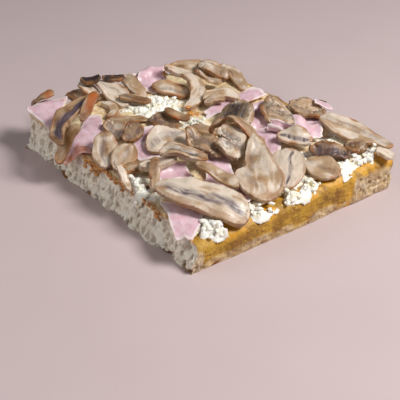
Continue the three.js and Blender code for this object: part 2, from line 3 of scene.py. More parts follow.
import bpy
import numpy as np
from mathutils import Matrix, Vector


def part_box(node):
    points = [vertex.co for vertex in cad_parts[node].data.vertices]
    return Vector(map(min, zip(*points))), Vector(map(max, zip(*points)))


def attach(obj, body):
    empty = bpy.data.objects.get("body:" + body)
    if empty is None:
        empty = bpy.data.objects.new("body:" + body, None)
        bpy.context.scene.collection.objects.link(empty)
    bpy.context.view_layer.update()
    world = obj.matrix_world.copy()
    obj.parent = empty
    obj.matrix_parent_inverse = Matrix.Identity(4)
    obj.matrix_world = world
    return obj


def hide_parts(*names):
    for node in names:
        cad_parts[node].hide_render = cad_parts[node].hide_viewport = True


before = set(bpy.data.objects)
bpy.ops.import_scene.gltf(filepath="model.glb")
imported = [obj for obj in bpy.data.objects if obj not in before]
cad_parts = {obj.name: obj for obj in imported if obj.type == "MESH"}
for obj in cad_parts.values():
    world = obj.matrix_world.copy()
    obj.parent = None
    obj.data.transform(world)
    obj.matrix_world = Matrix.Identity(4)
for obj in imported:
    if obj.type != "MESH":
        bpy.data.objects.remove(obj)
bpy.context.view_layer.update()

# The bread: one thick slab of airy dough, baked against two sides of its square pan and cut along
# the two others. The pan sides are smooth, golden and a little oily, the cut sides show the open
# crumb, and its foot is a thin browned crust. Sizes are millimetres, from the middle of the slab.
SLAB_X = 180
SLAB_Y = 168
PAN_CORNER = 9
TOP_AT = {"left": 25, "front": 17.5, "right": 24.5, "back": 14.5}
LEFT_SLANT = 9
TOP_SWELL = 0.4
CUT_LEAN = {"left": 3, "front": 8.5}
CORNER_REACH = 12
CRUMB_RELIEF = 0.8
CRUMB_SIZE = 6
RAGGED_FOOT = 2.6
SHOULDER = 6.5
FOOT_ROUND = 0.9
PORE_SIZES = {6.8: 2.9, 3.8: 1.7, 2.4: 0.9, 1.4: 0.5}
CREASE_DEPTH = 1.1
TORN_PATCH = dict(from_x=50, from_y=42, top=19)
TORN_FOOT = 7
TORN_CORNER = dict(to_y=-74, top=15)
FOOT_CRUST = 1.6
SAUCE_REACH = dict(cut=2.2, pan=9)
BURNT = dict(y=80, z=13, wide=2.0, high=4.0)
SOLID_COUNTS = (32, 24, 4, 24, 28)
SOLID_LEVELS = np.array([0, 0.09, 0.26, 0.44, 0.62, 0.79, 0.92, 1])
FINE_COUNTS = (380, 240, 44, 200, 300)
FINE_LEVELS = np.linspace(0, 1, 49)
TOP_RINGS = (0.985, 0.965, 0.94, 0.9, 0.6, 0.3)


def mix(a, b, part):
    """A value on the way from a to b: a where part is 0, b where it is 1."""
    return a + (b - a) * part


def clamp(value):
    """The value kept from 0 to 1."""
    return np.clip(value, 0, 1)


def smooth(value):
    """Goes from 0 to 1 as the value does, flat at both ends: its square times three less twice it."""
    part = clamp(value)
    return part * part * (3 - 2 * part)


def lattice(i, j, seed):
    """A random value from -1 to 1 for whole numbers i and j: the far digits of a large sine."""
    s = np.sin(i * 127.1 + j * 311.7 + seed * 74.7) * 43758.5453
    return 2 * (s - np.floor(s)) - 1


def noise(x, y, seed):
    """Smooth noise from -1 to 1: the lattice's four values round a point, blended by its place."""
    i, j = np.floor(x), np.floor(y)
    u, v = smooth(x - i), smooth(y - j)
    low = mix(lattice(i, j, seed), lattice(i + 1, j, seed), u)
    high = mix(lattice(i, j + 1, seed), lattice(i + 1, j + 1, seed), u)
    return mix(low, high, v)


def hollows(x, y, size, seed):
    """How deep a point lies in a field of round hollows, 0 outside them and 1 at their middles.
    Each square cell has one, of random place and width; its depth is one less the square of the
    distance from its middle over its radius."""
    x, y = x / size, y / size
    deepest = np.zeros(np.broadcast(x, y).shape)
    for di in (-1, 0, 1):
        for dj in (-1, 0, 1):
            i, j = np.floor(x) + di, np.floor(y) + dj
            middle_x = i + 0.5 + 0.4 * lattice(i, j, seed)
            middle_y = j + 0.5 + 0.4 * lattice(i, j, seed + 1)
            radius = 0.45 + 0.2 * lattice(i, j, seed + 2)
            away = ((x - middle_x) ** 2 + (y - middle_y) ** 2) / radius ** 2
            deepest = np.maximum(deepest, 1 - away)
    return deepest


def bread_top(x, y):
    """The height of the bread's top: blended between its four corners, and gently swollen."""
    u, v = x / SLAB_X + 0.5, y / SLAB_Y + 0.5
    front = mix(TOP_AT["left"], TOP_AT["front"], u)
    back = mix(TOP_AT["back"], TOP_AT["right"], u)
    return mix(front, back, v) + TOP_SWELL * noise(x / 32, y / 32, 3)


def slanted(x, y):
    """The left cut wasn't made square, so the slab gets longer toward the back: x less the slant
    times the shares of the way to the left and to the back."""
    return x - LEFT_SLANT * (0.5 - x / SLAB_X) * (0.5 + y / SLAB_Y)


def outline(counts):
    """Stations round the slab, anticlockwise from its left corner: four straight runs and a quarter
    circle in the pan's corner. A row is x, y, the face's normal and whether it is cut, the same of
    the face round the nearest corner, the share that this face has, and the corner's x and y."""
    x, y = SLAB_X / 2, SLAB_Y / 2
    front, right, back, left = (0, -1, 1), (1, 0, 0), (0, 1, 0), (-1, 0, 1)

    def run(start, end, count, face, before, after):
        """A straight run of stations; a neighbour that is given shares in them near its corner."""
        part = np.arange(count)[:, None] / count
        reach = CORNER_REACH / math.dist(start, end)
        from_start = clamp(1 - part / reach) if before else 0 * part
        from_end = clamp(1 - (1 - part) / reach) if after else 0 * part
        first = from_start >= from_end
        other = np.where(first, before or face, after or face)
        corner = np.where(first, start, end)
        place = mix(np.array(start), np.array(end), part)
        return np.hstack([place, np.tile(face, (count, 1)), other, from_start + from_end, corner])

    angle = np.arange(counts[2])[:, None] / counts[2] * math.pi / 2
    bend = np.hstack([np.cos(angle), np.sin(angle), 0 * angle])
    middle = np.array([x - PAN_CORNER, y - PAN_CORNER])
    places = middle + PAN_CORNER * bend[:, :2]
    arc = np.hstack([places, bend, bend, 0 * angle, places])
    stations = np.vstack([
        run((-x, -y), (x, -y), counts[0], front, left, right),
        run((x, -y), (x, y - PAN_CORNER), counts[1], right, front, None),
        arc,
        run((x - PAN_CORNER, y), (-x, y), counts[3], back, None, left),
        run((-x, y), (-x, -y), counts[4], left, back, front),
    ])
    for column in (0, 9):
        stations[:, column] = slanted(stations[:, column], stations[:, column + 1])
    return stations


def cut_inset(x, y, z):
    """How far a cut face lies inside the outline: it leans in toward the top, its crumb is uneven,
    and its foot is ragged."""
    lean = mix(CUT_LEAN["left"], CUT_LEAN["front"], smooth(x / SLAB_X + 0.5))
    along = x + y
    crumb = CRUMB_RELIEF * (noise(along / CRUMB_SIZE, z / CRUMB_SIZE, 11) + 0.6)
    foot = RAGGED_FOOT * clamp(1 - z / 2.5) * clamp(noise(along / 9, 0 * z, 12) + 0.4)
    return lean * z / TOP_AT["left"] + crumb + foot


def pan_inset(x, y, z, top):
    """How far a pan side lies inside the outline: a rounded shoulder above a nearly plumb side."""
    over = clamp((z - top + SHOULDER) / SHOULDER)
    shoulder = SHOULDER * (1 - np.sqrt(1 - over * over))
    foot = FOOT_ROUND * clamp(1 - z / 2)
    return shoulder + foot + 0.5 * (noise((x - y) / 14, z / 9, 21) + 1)


def torn(x, y, z):
    """Where a pan side didn't brown but tore: in a patch round the pan's corner, along its foot, and
    beside the front corner. Each is a product of steps whose edges noise makes uneven."""
    patch = smooth((y - TORN_PATCH["from_y"] + 0.15 * (z - 18)) / 3)
    patch = patch * smooth((TORN_PATCH["top"] - z + 2 * noise(y / 6, z / 6, 9)) / 5)
    patch = patch * smooth((x - TORN_PATCH["from_x"] + 6 * noise(y / 5, z / 5, 13)) / 8)
    foot = 0.75 * smooth((TORN_FOOT - z + 4 * noise((x - y) / 9, z / 5, 8)) / 5)
    corner = smooth((TORN_CORNER["to_y"] - y + 1.5 * noise(y / 4, z / 4, 10)) / 3)
    corner = corner * smooth((TORN_CORNER["top"] - z) / 4)
    return np.maximum(np.maximum(patch, foot), corner)


def fine_relief(x, y, z, top, cut):
    """What the plain solid leaves out, as a depth: pores of four sizes and the creases between the
    lumps of the crumb, fading toward the top edge, and small bubbles in the skin of the pan sides,
    with pores where it tore. Also gives the pores alone."""
    along, side, below = x + y, x - y, top - z
    warp = 1.6 * noise(along / 7, z / 7, 41)
    stretched_along, stretched_up = 1.3 * along + warp, 0.85 * z - 0.5 * warp
    pores = sum(depth * np.maximum(hollows(stretched_along, stretched_up, size, 43 + size) - 0.25, 0)
                for size, depth in PORE_SIZES.items())
    dense = clamp(0.6 + 0.6 * noise(along / 13, z / 9, 45)) * mix(0.45, 1.25, smooth(below / 12))
    creases = smooth(1 - np.abs(noise(along / 3.9 + 0.5 * warp, z / 4.3, 50)) / 0.2)
    crumb = (pores * dense + CREASE_DEPTH * creases) * smooth(below / 1.5)
    bubbles = 0.28 * (noise(side / 2.4, z / 2.1, 46) + 1) + 0.16 * (noise(side / 1.1, z / 0.9, 47) + 1)
    bubbles = bubbles + 0.45 * (noise(side / 5.5, z / 6, 48) + 1) + 0.35 * hollows(side, z, 3.4, 49)
    bubbles = bubbles + 0.8 * smooth((6 - z) / 3) * (noise(side / 3.6, z / 2.6, 51) + 1)
    skin = mix(bubbles, 0.55 * crumb + 0.4, torn(x, y, z) * smooth(below / 4))
    return np.where(cut, crumb, skin), pores * np.where(cut, 1, torn(x, y, z))


def side_inset(x, y, z, cut, share):
    """How far a side of either kind lies inside the outline, with a share of its fine relief where
    one is given. Also gives the pores alone."""
    top = bread_top(x, y)
    inset = np.where(cut, cut_inset(x, y, z), pan_inset(x, y, z, top))
    if share is None:
        return inset, None
    relief, pores = fine_relief(x, y, z, top, cut > 0)
    return inset + relief * share, pores


def side_points(stations, levels, fine=False):
    """Points of the slab's sides, a row for each level from foot to top: each lies in from the
    outline by its own face's inset and, near a corner, by a share of the other face's."""
    x, y, nx, ny, cut, mx, my, other_cut, share, corner_x, corner_y = stations.T
    z = bread_top(x, y) * levels[:, None]
    relief_share = 0.45 + 0.55 * smooth(levels[:, None] / 0.04) if fine else None
    own, pores = side_inset(x, y, z, cut, relief_share)
    other, _ = side_inset(corner_x, corner_y, z, other_cut, relief_share)
    px = x - nx * own - mx * share * other
    py = y - ny * own - my * share * other
    pz = np.where(levels[:, None] == 1, bread_top(px, py), z)
    return np.stack([px, py, pz], axis=-1), pores


# The frame holds the slab somewhere else, so its own corner there tells where its middle lies.
solid_sides, _ = side_points(outline(SOLID_COUNTS), SOLID_LEVELS)
SLAB_MIDDLE = 1000 * np.array(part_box("bread")[0])[:2] - solid_sides.reshape(-1, 3).min(0)[:2]


def grid_quads(rows, columns, ring=False):
    """The quads of a grid of points, row after row; a ring's last column is joined to its first."""
    i = np.arange(rows - 1)[:, None]
    j = np.arange(columns if ring else columns - 1)[None, :]
    after = (j + 1) % columns
    corners = [i * columns + j, i * columns + after, (i + 1) * columns + after, (i + 1) * columns + j]
    return np.stack(corners, axis=-1).reshape(-1, 4)


def add_piece(name, points, faces, masks, material, slot, *nodes):
    """A mesh from points in millimetres round the slab's middle and lists of faces, with its masks
    as point attributes. It rides on the pizza's one body and stands for the solids named."""
    places = np.array(points, dtype=float).reshape(-1, 3) + [*SLAB_MIDDLE, 0]
    mesh = bpy.data.meshes.new(name)
    mesh.vertices.add(len(places))
    mesh.vertices.foreach_set("co", (places * 0.001).ravel())
    corners = np.concatenate([np.asarray(group).ravel() for group in faces])
    lengths = np.concatenate([np.full(len(group), np.asarray(group).shape[1]) for group in faces])
    mesh.loops.add(len(corners))
    mesh.loops.foreach_set("vertex_index", corners.astype(np.int32))
    mesh.polygons.add(len(lengths))
    mesh.polygons.foreach_set("loop_start", (np.cumsum(lengths) - lengths).astype(np.int32))
    for mask, values in masks.items():
        layer = mesh.attributes.new(mask, "FLOAT", "POINT")
        layer.data.foreach_set("value", np.asarray(values, dtype=np.float32).ravel())
    mesh.update(calc_edges=True)
    mesh.shade_smooth()
    mesh.materials.append(material)
    piece = bpy.data.objects.new(name, mesh)
    bpy.context.scene.collection.objects.link(piece)
    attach(piece, "root")
    if nodes:
        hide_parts(*nodes)


class Link:
    """The output of a shader node. Arithmetic on it adds Math nodes to its material."""

    def __init__(self, shader, socket):
        self.shader = shader
        self.socket = socket

    def math(self, operation, first, second):
        """The result of one Math node."""
        return self.shader.node("Math", {"operation": operation}, {0: first, 1: second})

    def __add__(self, other):
        return self.math("ADD", self, other)

    def __sub__(self, other):
        return self.math("SUBTRACT", self, other)

    def __rsub__(self, other):
        return self.math("SUBTRACT", other, self)

    def __mul__(self, other):
        return self.math("MULTIPLY", self, other)

    __radd__ = __add__
    __rmul__ = __mul__


class Shader:
    """A material and its nodes. Each method adds nodes and gives back a link to what comes out."""

    def __init__(self, name, **constants):
        self.material = bpy.data.materials.new(name)
        self.material.use_nodes = True
        self.tree = self.material.node_tree
        self.surface = self.tree.nodes["Principled BSDF"]
        for socket, value in constants.items():
            self.surface.inputs[socket.replace("_", " ")].default_value = value
        self.place = self.node("TexCoord", {}, {}, "Object")

    def feed(self, node, inputs):
        """Links or sets each of a node's sockets."""
        for socket, value in inputs.items():
            if isinstance(value, Link):
                self.tree.links.new(value.socket, node.inputs[socket])
            else:
                node.inputs[socket].default_value = value

    def node(self, kind, settings, inputs, output=0):
        """A new node of that kind: its settings first, then its sockets."""
        made = self.tree.nodes.new("ShaderNode" + kind)
        for setting, value in settings.items():
            setattr(made, setting, value)
        self.feed(made, inputs)
        return Link(self, made.outputs[output])

    def mask(self, name):
        """The piece's own point attribute of that name."""
        return self.node("Attribute", {"attribute_name": name}, {}, "Fac")

    def speckle(self, size, detail=2.0):
        """Noise from 0 to 1 whose lumps are about so many millimetres across."""
        scale = 1000 / size
        return self.node("TexNoise", {}, {"Vector": self.place, "Scale": scale, "Detail": detail}, "Fac")

    def step(self, value, low, high):
        """0 where the value is below low, 1 where it is above high, and smooth between."""
        limits = {"Value": value, "From Min": low, "From Max": high}
        return self.node("MapRange", {"interpolation_type": "SMOOTHSTEP"}, limits)

    def blend(self, first, second, part):
        """Goes from the first colour to the second as part goes from 0 to 1."""
        return self.node("Mix", {"data_type": "RGBA"}, {0: part, 6: first, 7: second}, 2)

    def finish(self, base, roughness, relief, depth):
        """Feeds the colour, the roughness and the relief, whose depth is in millimetres."""
        bump = self.node("Bump", {}, {"Height": relief, "Distance": depth * 0.001}, "Normal")
        self.feed(self.surface, {"Base Color": base, "Roughness": roughness, "Normal": bump})
        return self.material


def colour(red, green, blue):
    """A colour as the screen shows it, 0 to 255, made linear."""
    shares = np.array([red, green, blue]) / 255
    linear = np.where(shares <= 0.04045, shares / 12.92, ((shares + 0.055) / 1.055) ** 2.4)
    return (*linear.tolist(), 1.0)


BREAD_COLOURS = {
    "crumb": colour(255, 250, 238), "shade": colour(246, 234, 212), "crevice_shade": colour(168, 142, 112),
    "pore_shade": colour(136, 106, 76), "gold": colour(184, 138, 38), "deep gold": colour(134, 90, 22),
    "light gold": colour(228, 182, 72), "brown": colour(134, 84, 30), "sauce": colour(216, 158, 44),
    "burnt": colour(62, 36, 28), "flour": colour(250, 240, 220)}


def bread_material():
    """White crumb with dull specks and darker pores, both painted shade standing in for the shadows of its
    crevices and hollows, the golden skin of the pan sides over it, then the brown foot, sauce, a burnt
    spot and a little pale flour. Skin and sauce are the shinier."""
    shader = Shader("bread", Subsurface_Weight=0.12, Subsurface_Scale=0.002, Subsurface_Radius=(1, 0.8, 0.6))
    tint = BREAD_COLOURS
    wide, fine = shader.speckle(9), shader.speckle(1.6, 4)
    skin, sauce = shader.mask("gold"), shader.mask("sauce")
    crumb = shader.blend(tint["crumb"], tint["shade"], wide)
    # Dull specks in random places: painted shade standing in for the shadows in the crumb's crevices.
    crumb = shader.blend(crumb, tint["crevice_shade"], 0.45 * shader.step(shader.speckle(2.6, 4), 0.52, 0.72))
    # Darker where the pores are deep: painted shade in the hollows.
    crumb = shader.blend(crumb, tint["pore_shade"], 0.5 * shader.step(shader.mask("pore_shade"), 0.6, 2.2))
    gold = shader.blend(tint["gold"], tint["deep gold"], shader.step(wide + 0.3 * fine, 0.52, 0.88))
    gold = shader.blend(gold, tint["light gold"], 0.55 * shader.step(fine, 0.5, 0.7))
    base = shader.blend(crumb, gold, skin)
    base = shader.blend(base, tint["brown"], shader.mask("brown"))
    base = shader.blend(base, tint["sauce"], sauce)
    base = shader.blend(base, tint["burnt"], shader.mask("burnt"))
    base = shader.blend(base, tint["flour"], 0.25 * shader.step(fine, 0.6, 0.8) * (1 - 0.8 * skin))
    return shader.finish(base, 0.86 - 0.35 * skin - 0.15 * sauce, fine + 0.6 * shader.speckle(0.8, 3), 0.35)


def bread_masks(points, stations, pores):
    """Where the bread is golden, brown, stained with sauce or burnt, from the place of each point, and how
    deep its pores are, for the painted shade in them. The cut faces and the pan sides have their own
    rules, each a product of uneven steps."""
    x, y, z = points[..., 0], points[..., 1], points[..., 2]
    cut = stations[:, 4] > 0
    below, along, side = bread_top(x, y) - z, x + y, x - y
    under_cheese = 0.4 * smooth((0.8 - below + 1.5 * noise(along / 5, 0 * x, 53)) / 1.2)
    gold = np.where(cut, under_cheese, 1 - 0.42 * torn(x, y, z) * smooth(below / 4))
    foot = smooth((FOOT_CRUST + 1.2 * noise(along / 6, 0 * x, 52) - z) / 0.8)
    foot = foot * smooth(0.4 + 1.2 * noise(np.where(cut, along, side) / 9, 0 * x, 54))
    streaks = noise(side / 4, z / 17, 55) + 0.5 * noise(side / 1.6, z / 12, 59)
    streaks = 0.4 * smooth(1.8 * streaks - 0.2) * smooth(below / 5)
    stain = 0.6 * smooth((SAUCE_REACH["cut"] - below + 2.5 * noise(along / 7, below / 5, 58)) / 2)
    drips = noise(side / 11, below / 20, 56) + 0.5 * noise(side / 3, below / 9, 57)
    drips = 0.85 * smooth(1.6 * (drips - 0.1 + 0.5 * smooth((6 - below) / 6)))
    sauce = np.where(cut, stain, drips * smooth((SAUCE_REACH["pan"] - below) / 6))
    tear_edge = np.abs(y - TORN_PATCH["from_y"] - 0.17 * (z - 10)) / 1.6
    sauce = np.maximum(sauce, 0.7 * smooth(1.4 - tear_edge) * (x > 70))
    burnt = np.hypot((y - BURNT["y"]) / BURNT["wide"], (z - BURNT["z"]) / BURNT["high"])
    return {"gold": gold, "brown": np.maximum(foot, np.where(cut, 0, streaks)), "sauce": clamp(sauce),
            "burnt": smooth(1.6 - burnt) * (x > 60), "pore_shade": pores}


stations = outline(FINE_COUNTS)
count = len(stations)
sides, pores = side_points(stations, FINE_LEVELS, fine=True)
edge = sides[-1]
inner = [edge * [share, share, 1] for share in TOP_RINGS]
tops = np.array([np.column_stack([ring[:, :2], bread_top(ring[:, 0], ring[:, 1])]) for ring in inner])
rings = np.concatenate([sides, tops])
masks = bread_masks(rings, stations, np.concatenate([pores, np.zeros(tops.shape[:2])]))
middles = np.array([[0, 0, bread_top(0, 0)], [0, 0, 0]])
around = np.arange(count)
last = (len(rings) - 1) * count
crown = np.stack([last + around, last + (around + 1) % count, np.full(count, len(rings) * count)], 1)
foot = np.stack([(around + 1) % count, around, np.full(count, len(rings) * count + 1)], 1)
add_piece("bread_slab", np.vstack([rings.reshape(-1, 3), middles]),
          [grid_quads(len(rings), count, ring=True), crown, foot],
          {name: np.append(values.ravel(), [values[-1, 0]] * 2) for name, values in masks.items()},
          bread_material(), "bread", "bread")

# The cheese: mozzarella grated and crumbled over the bread, melted into one uneven sheet that is
# cut flush with the two cut faces and runs out short of the two pan sides. Shreds that kept their
# shape lie in patches between the slices, sunk into the sheet.
GAP = 0.3
CHEESE_MARGIN = 3
CHEESE_THICK = 2.1
CHEESE_LUMP = 0.9
CHEESE_RIM = 1.3
CHEESE_RIM_WIDE = 3.5
CHEESE_STEPS = (250, 230)
SHRED = dict(length=5, width=1.9, height=1.8)
MELTED_OVER = 1.1
WHITE_REACH = 9
TOASTED_EDGE = 3.5
SHREDS = [
    dict(at=(-50, -9), size=(34, 14), turn=55, count=9),
    dict(at=(-20, 0), size=(14, 6), turn=55, count=3),
    dict(at=(49, 58), size=(14, 8), turn=55, count=3),
    dict(at=(22, -73), size=(24, 7), turn=-10, count=6),
    dict(at=(78, -64), size=(18, 10), turn=55, count=7),
    dict(at=(82, -28), size=(5, 18), turn=0, count=6),
    dict(at=(82, 3), size=(5, 22), turn=0, count=6),
    dict(at=(80, 38), size=(8, 40), turn=0, count=9),
    dict(at=(78, 62), size=(8, 14), turn=0, count=4),
    dict(at=(48, 26), size=(20, 6), turn=20, count=3),
]


def cheese_top(x, y):
    """The melted sheet's height: the bread's, a gap, its thickness and two sizes of lumps."""
    lumps = noise(x / 9, y / 9, 31) + 0.5 * noise(x / 4.5, y / 4.5, 32)
    return bread_top(x, y) + GAP + CHEESE_THICK + CHEESE_LUMP * lumps


def edge_run(start, end, steps):
    """Points of the cheese's outline between two stations, evenly spread: the bread's top edge,
    drawn in by the margin where it was baked against the pan."""
    at = np.linspace(start, end, steps)
    low = np.floor(at).astype(int)
    places = mix(edge[low % count], edge[(low + 1) % count], (at - low)[:, None])[:, :2]
    return places - CHEESE_MARGIN * clamp(places / [SLAB_X, SLAB_Y] + 0.5)


def cheese_sheet(columns, rows):
    """A patch stretched between the four edges: each point is the blend of left and right edge plus
    the blend of front and back edge less the blend of the four corners."""
    corner_front = FINE_COUNTS[0]
    corner_pan = corner_front + FINE_COUNTS[1] + FINE_COUNTS[2] / 2
    corner_back = count - FINE_COUNTS[4]
    front = edge_run(0, corner_front, columns)[None]
    right = edge_run(corner_front, corner_pan, rows)[:, None]
    back = edge_run(corner_pan, corner_back, columns)[::-1][None]
    left = edge_run(corner_back, count, rows)[::-1][:, None]
    u = np.linspace(0, 1, columns)[None, :, None]
    v = np.linspace(0, 1, rows)[:, None, None]
    corners = mix(mix(front[:, :1], front[:, -1:], u), mix(back[:, :1], back[:, -1:], u), v)
    return mix(front, back, v) + mix(left, right, u) - corners


columns, rows = CHEESE_STEPS
x, y = np.moveaxis(cheese_sheet(columns, rows), -1, 0)
u = np.linspace(0, 1, columns)[None, :]
v = np.linspace(0, 1, rows)[:, None]
from_edge = np.minimum(np.minimum(u, 1 - u) * SLAB_X, np.minimum(v, 1 - v) * SLAB_Y)
strands = np.abs(noise(x / 2.1 + noise(x / 5, y / 5, 61), y / 2.1, 62))
strands = 0.7 * (0.5 - strands) + 0.25 * noise(x / 1.1, y / 1.1, 63)
thin_edge = bread_top(x, y) + GAP + CHEESE_RIM
height = mix(thin_edge, cheese_top(x, y) + strands, smooth(mix(0.2, 1, from_edge / CHEESE_RIM_WIDE)))
sheet = np.dstack([x, y, height]).reshape(-1, 3)

# The sheet's edge goes straight down to the bread, and a fan of triangles closes it below.
border = np.concatenate([np.arange(columns), np.arange(1, rows) * columns + columns - 1,
                         (rows - 1) * columns + np.arange(columns - 2, -1, -1),
                         np.arange(rows - 2, 0, -1) * columns])
skirt = sheet[border] * [1, 1, 0]
skirt[:, 2] = bread_top(skirt[:, 0], skirt[:, 1]) + GAP
start = len(sheet)
beside = np.arange(len(border))
beyond = (beside + 1) % len(border)
walls = np.stack([start + beside, start + beyond, border[beyond], border[beside]], 1)
base = np.stack([start + beyond, start + beside, np.full(len(border), start + len(border))], 1)


CHEESE_COLOURS = {
    "white": colour(254, 248, 234), "cream": colour(246, 234, 200), "melted": colour(232, 210, 168),
    "golden": colour(196, 148, 92), "pale": colour(246, 234, 208), "toasted": colour(184, 130, 80)}


def cheese_material():
    """Cream melted cheese with golden patches and pale specks, white where it kept its crumbles,
    and toasted along the front cut."""
    shader = Shader("cheese", Subsurface_Weight=0.4, Subsurface_Scale=0.003, Subsurface_Radius=(1, 0.9, 0.75))
    tint = CHEESE_COLOURS
    wide, fine = shader.speckle(6, 3), shader.speckle(1.5, 3)
    white = shader.blend(tint["white"], tint["cream"], shader.step(wide, 0.45, 0.75))
    base = shader.blend(tint["melted"], tint["golden"], shader.step(wide + 0.4 * fine, 0.6, 0.95))
    base = shader.blend(base, tint["pale"], 0.7 * shader.step(fine, 0.5, 0.7))
    base = shader.blend(base, white, shader.mask("white"))
    base = shader.blend(base, tint["toasted"], shader.mask("toast"))
    return shader.finish(base, 0.34 + 0.2 * fine, fine, 0.3)


def lump_shape(rows=6, columns=8):
    """A ball in rings from pole to pole, as unit directions, with its quads and the triangles round
    its two poles."""
    climb = np.linspace(-0.5, 0.5, rows + 2)[1:-1, None] * math.pi
    turn = np.arange(columns)[None, :] * 2 * math.pi / columns
    ball = np.dstack([np.cos(climb) * np.cos(turn), np.cos(climb) * np.sin(turn), np.sin(climb) + 0 * turn])
    points = np.vstack([ball.reshape(-1, 3), [[0, 0, -1], [0, 0, 1]]])
    ring = np.arange(columns)
    after = (ring + 1) % columns
    top = (rows - 1) * columns
    low_pole = np.stack([after, ring, 0 * ring + rows * columns], 1)
    high_pole = np.stack([top + ring, top + after, 0 * ring + rows * columns + 1], 1)
    return points, grid_quads(rows, columns, ring=True), np.vstack([low_pole, high_pole])


def lumps(places, sizes, turns, seed, rough=0.35):
    """Uneven lumps: a ball whose radius varies with noise, stretched to each size, turned about Z,
    and set down at each place."""
    ball, quads, ends = lump_shape()
    order = np.arange(len(places))[:, None]
    bumps = 1 + rough * noise(ball[:, 0] * 1.7 + 3.1 * order, ball[:, 1] * 1.7 + ball[:, 2] * 1.3, seed)
    x, y, z = np.moveaxis(ball * bumps[..., None] * sizes[:, None] / 2, -1, 0)
    c, s = np.cos(turns)[:, None], np.sin(turns)[:, None]
    points = np.dstack([x * c - y * s, x * s + y * c, z]) + places[:, None]
    first = order[:, :, None] * len(ball)
    return points.reshape(-1, 3), [(quads + first).reshape(-1, 4), (ends + first).reshape(-1, 3)]


def seeded(seed):
    """Random numbers from 0 to 1 by a fixed rule: each state is a multiple of the one before."""
    state = seed * 7919 + 17
    while True:
        state = (state * 1103515245 + 12345) % 2147483648
        yield state / 2147483648


def shred_places():
    """The place, length and turn of each shred, drawn patch by patch."""
    found = []
    for patch, row in enumerate(SHREDS):
        draw = seeded(patch + 40)
        angle = math.radians(row["turn"])
        for _ in range(row["count"]):
            a = row["size"][0] * (next(draw) - 0.5)
            b = row["size"][1] * (next(draw) - 0.5)
            x = row["at"][0] + a * math.cos(angle) - b * math.sin(angle)
            y = row["at"][1] + a * math.sin(angle) + b * math.cos(angle)
            found.append((x, y, next(draw) * math.pi, mix(0.7, 1.2, next(draw))))
    return np.array(found)


shreds = shred_places()
rise = cheese_top(shreds[:, 0], shreds[:, 1]) + 0.2 * SHRED["height"]
lengths = SHRED["length"] * shreds[:, 3]
shred_sizes = np.column_stack([SHRED["width"] + 0 * lengths, lengths, SHRED["height"] + 0 * lengths])
shred_sizes = MELTED_OVER * shred_sizes
shred_points, shred_faces = lumps(np.column_stack([shreds[:, :2], rise]), shred_sizes, shreds[:, 2], 66)
shred_faces = [group + start + len(border) + 1 for group in shred_faces]
from_shred = np.min([np.hypot(x - place[0], y - place[1]) for place in shreds], axis=0)
white = smooth((WHITE_REACH - from_shred + 5 * noise(x / 5, y / 5, 65)) / 6)
toast = 0.8 * smooth((TOASTED_EDGE - v * SLAB_Y + 3 * noise(x / 4, y / 4, 64)) / 3)
below_middle = [[0, 0, bread_top(0, 0) + GAP]]
others = np.ones(len(border) + 1 + len(shred_points))
cheese = cheese_material()
add_piece("cheese_sheet", np.vstack([sheet, skirt, below_middle, shred_points]),
          [grid_quads(rows, columns), walls, base, *shred_faces],
          {"white": np.append(white, others), "toast": np.append(toast, 0 * others)},
          cheese, "cheese", "cheese")

# The slices were laid one after another, each over what was there, and settled onto it in the oven.
# A slice is a flat cut with an outline, folded, rolled and tilted, and its sheet sags between what
# holds it up. The order, places and sizes are those of the solids, so each lies where they lie.
REST_GAP = 0.34
MAP_CELL = 1
MAP_REACH = 116
MAP_BATCHES = ((1, 9), (9, 33), (33, 257))
WIDENED = 4
SAG_ROUNDS = 120
HAM = dict(thick=1.5, limpness=0.09, evening=5, ripple=0.4)
MUSHROOM = dict(thick=2.6, limpness=0.03, evening=12, ripple=1.2)
LEAN_TOWARD = math.radians(140)
RAGGED_SIDE = 0.14
TORN_SIDE = 0.22
FINE_STEP = 0.55
EDGE_RINGS = 4
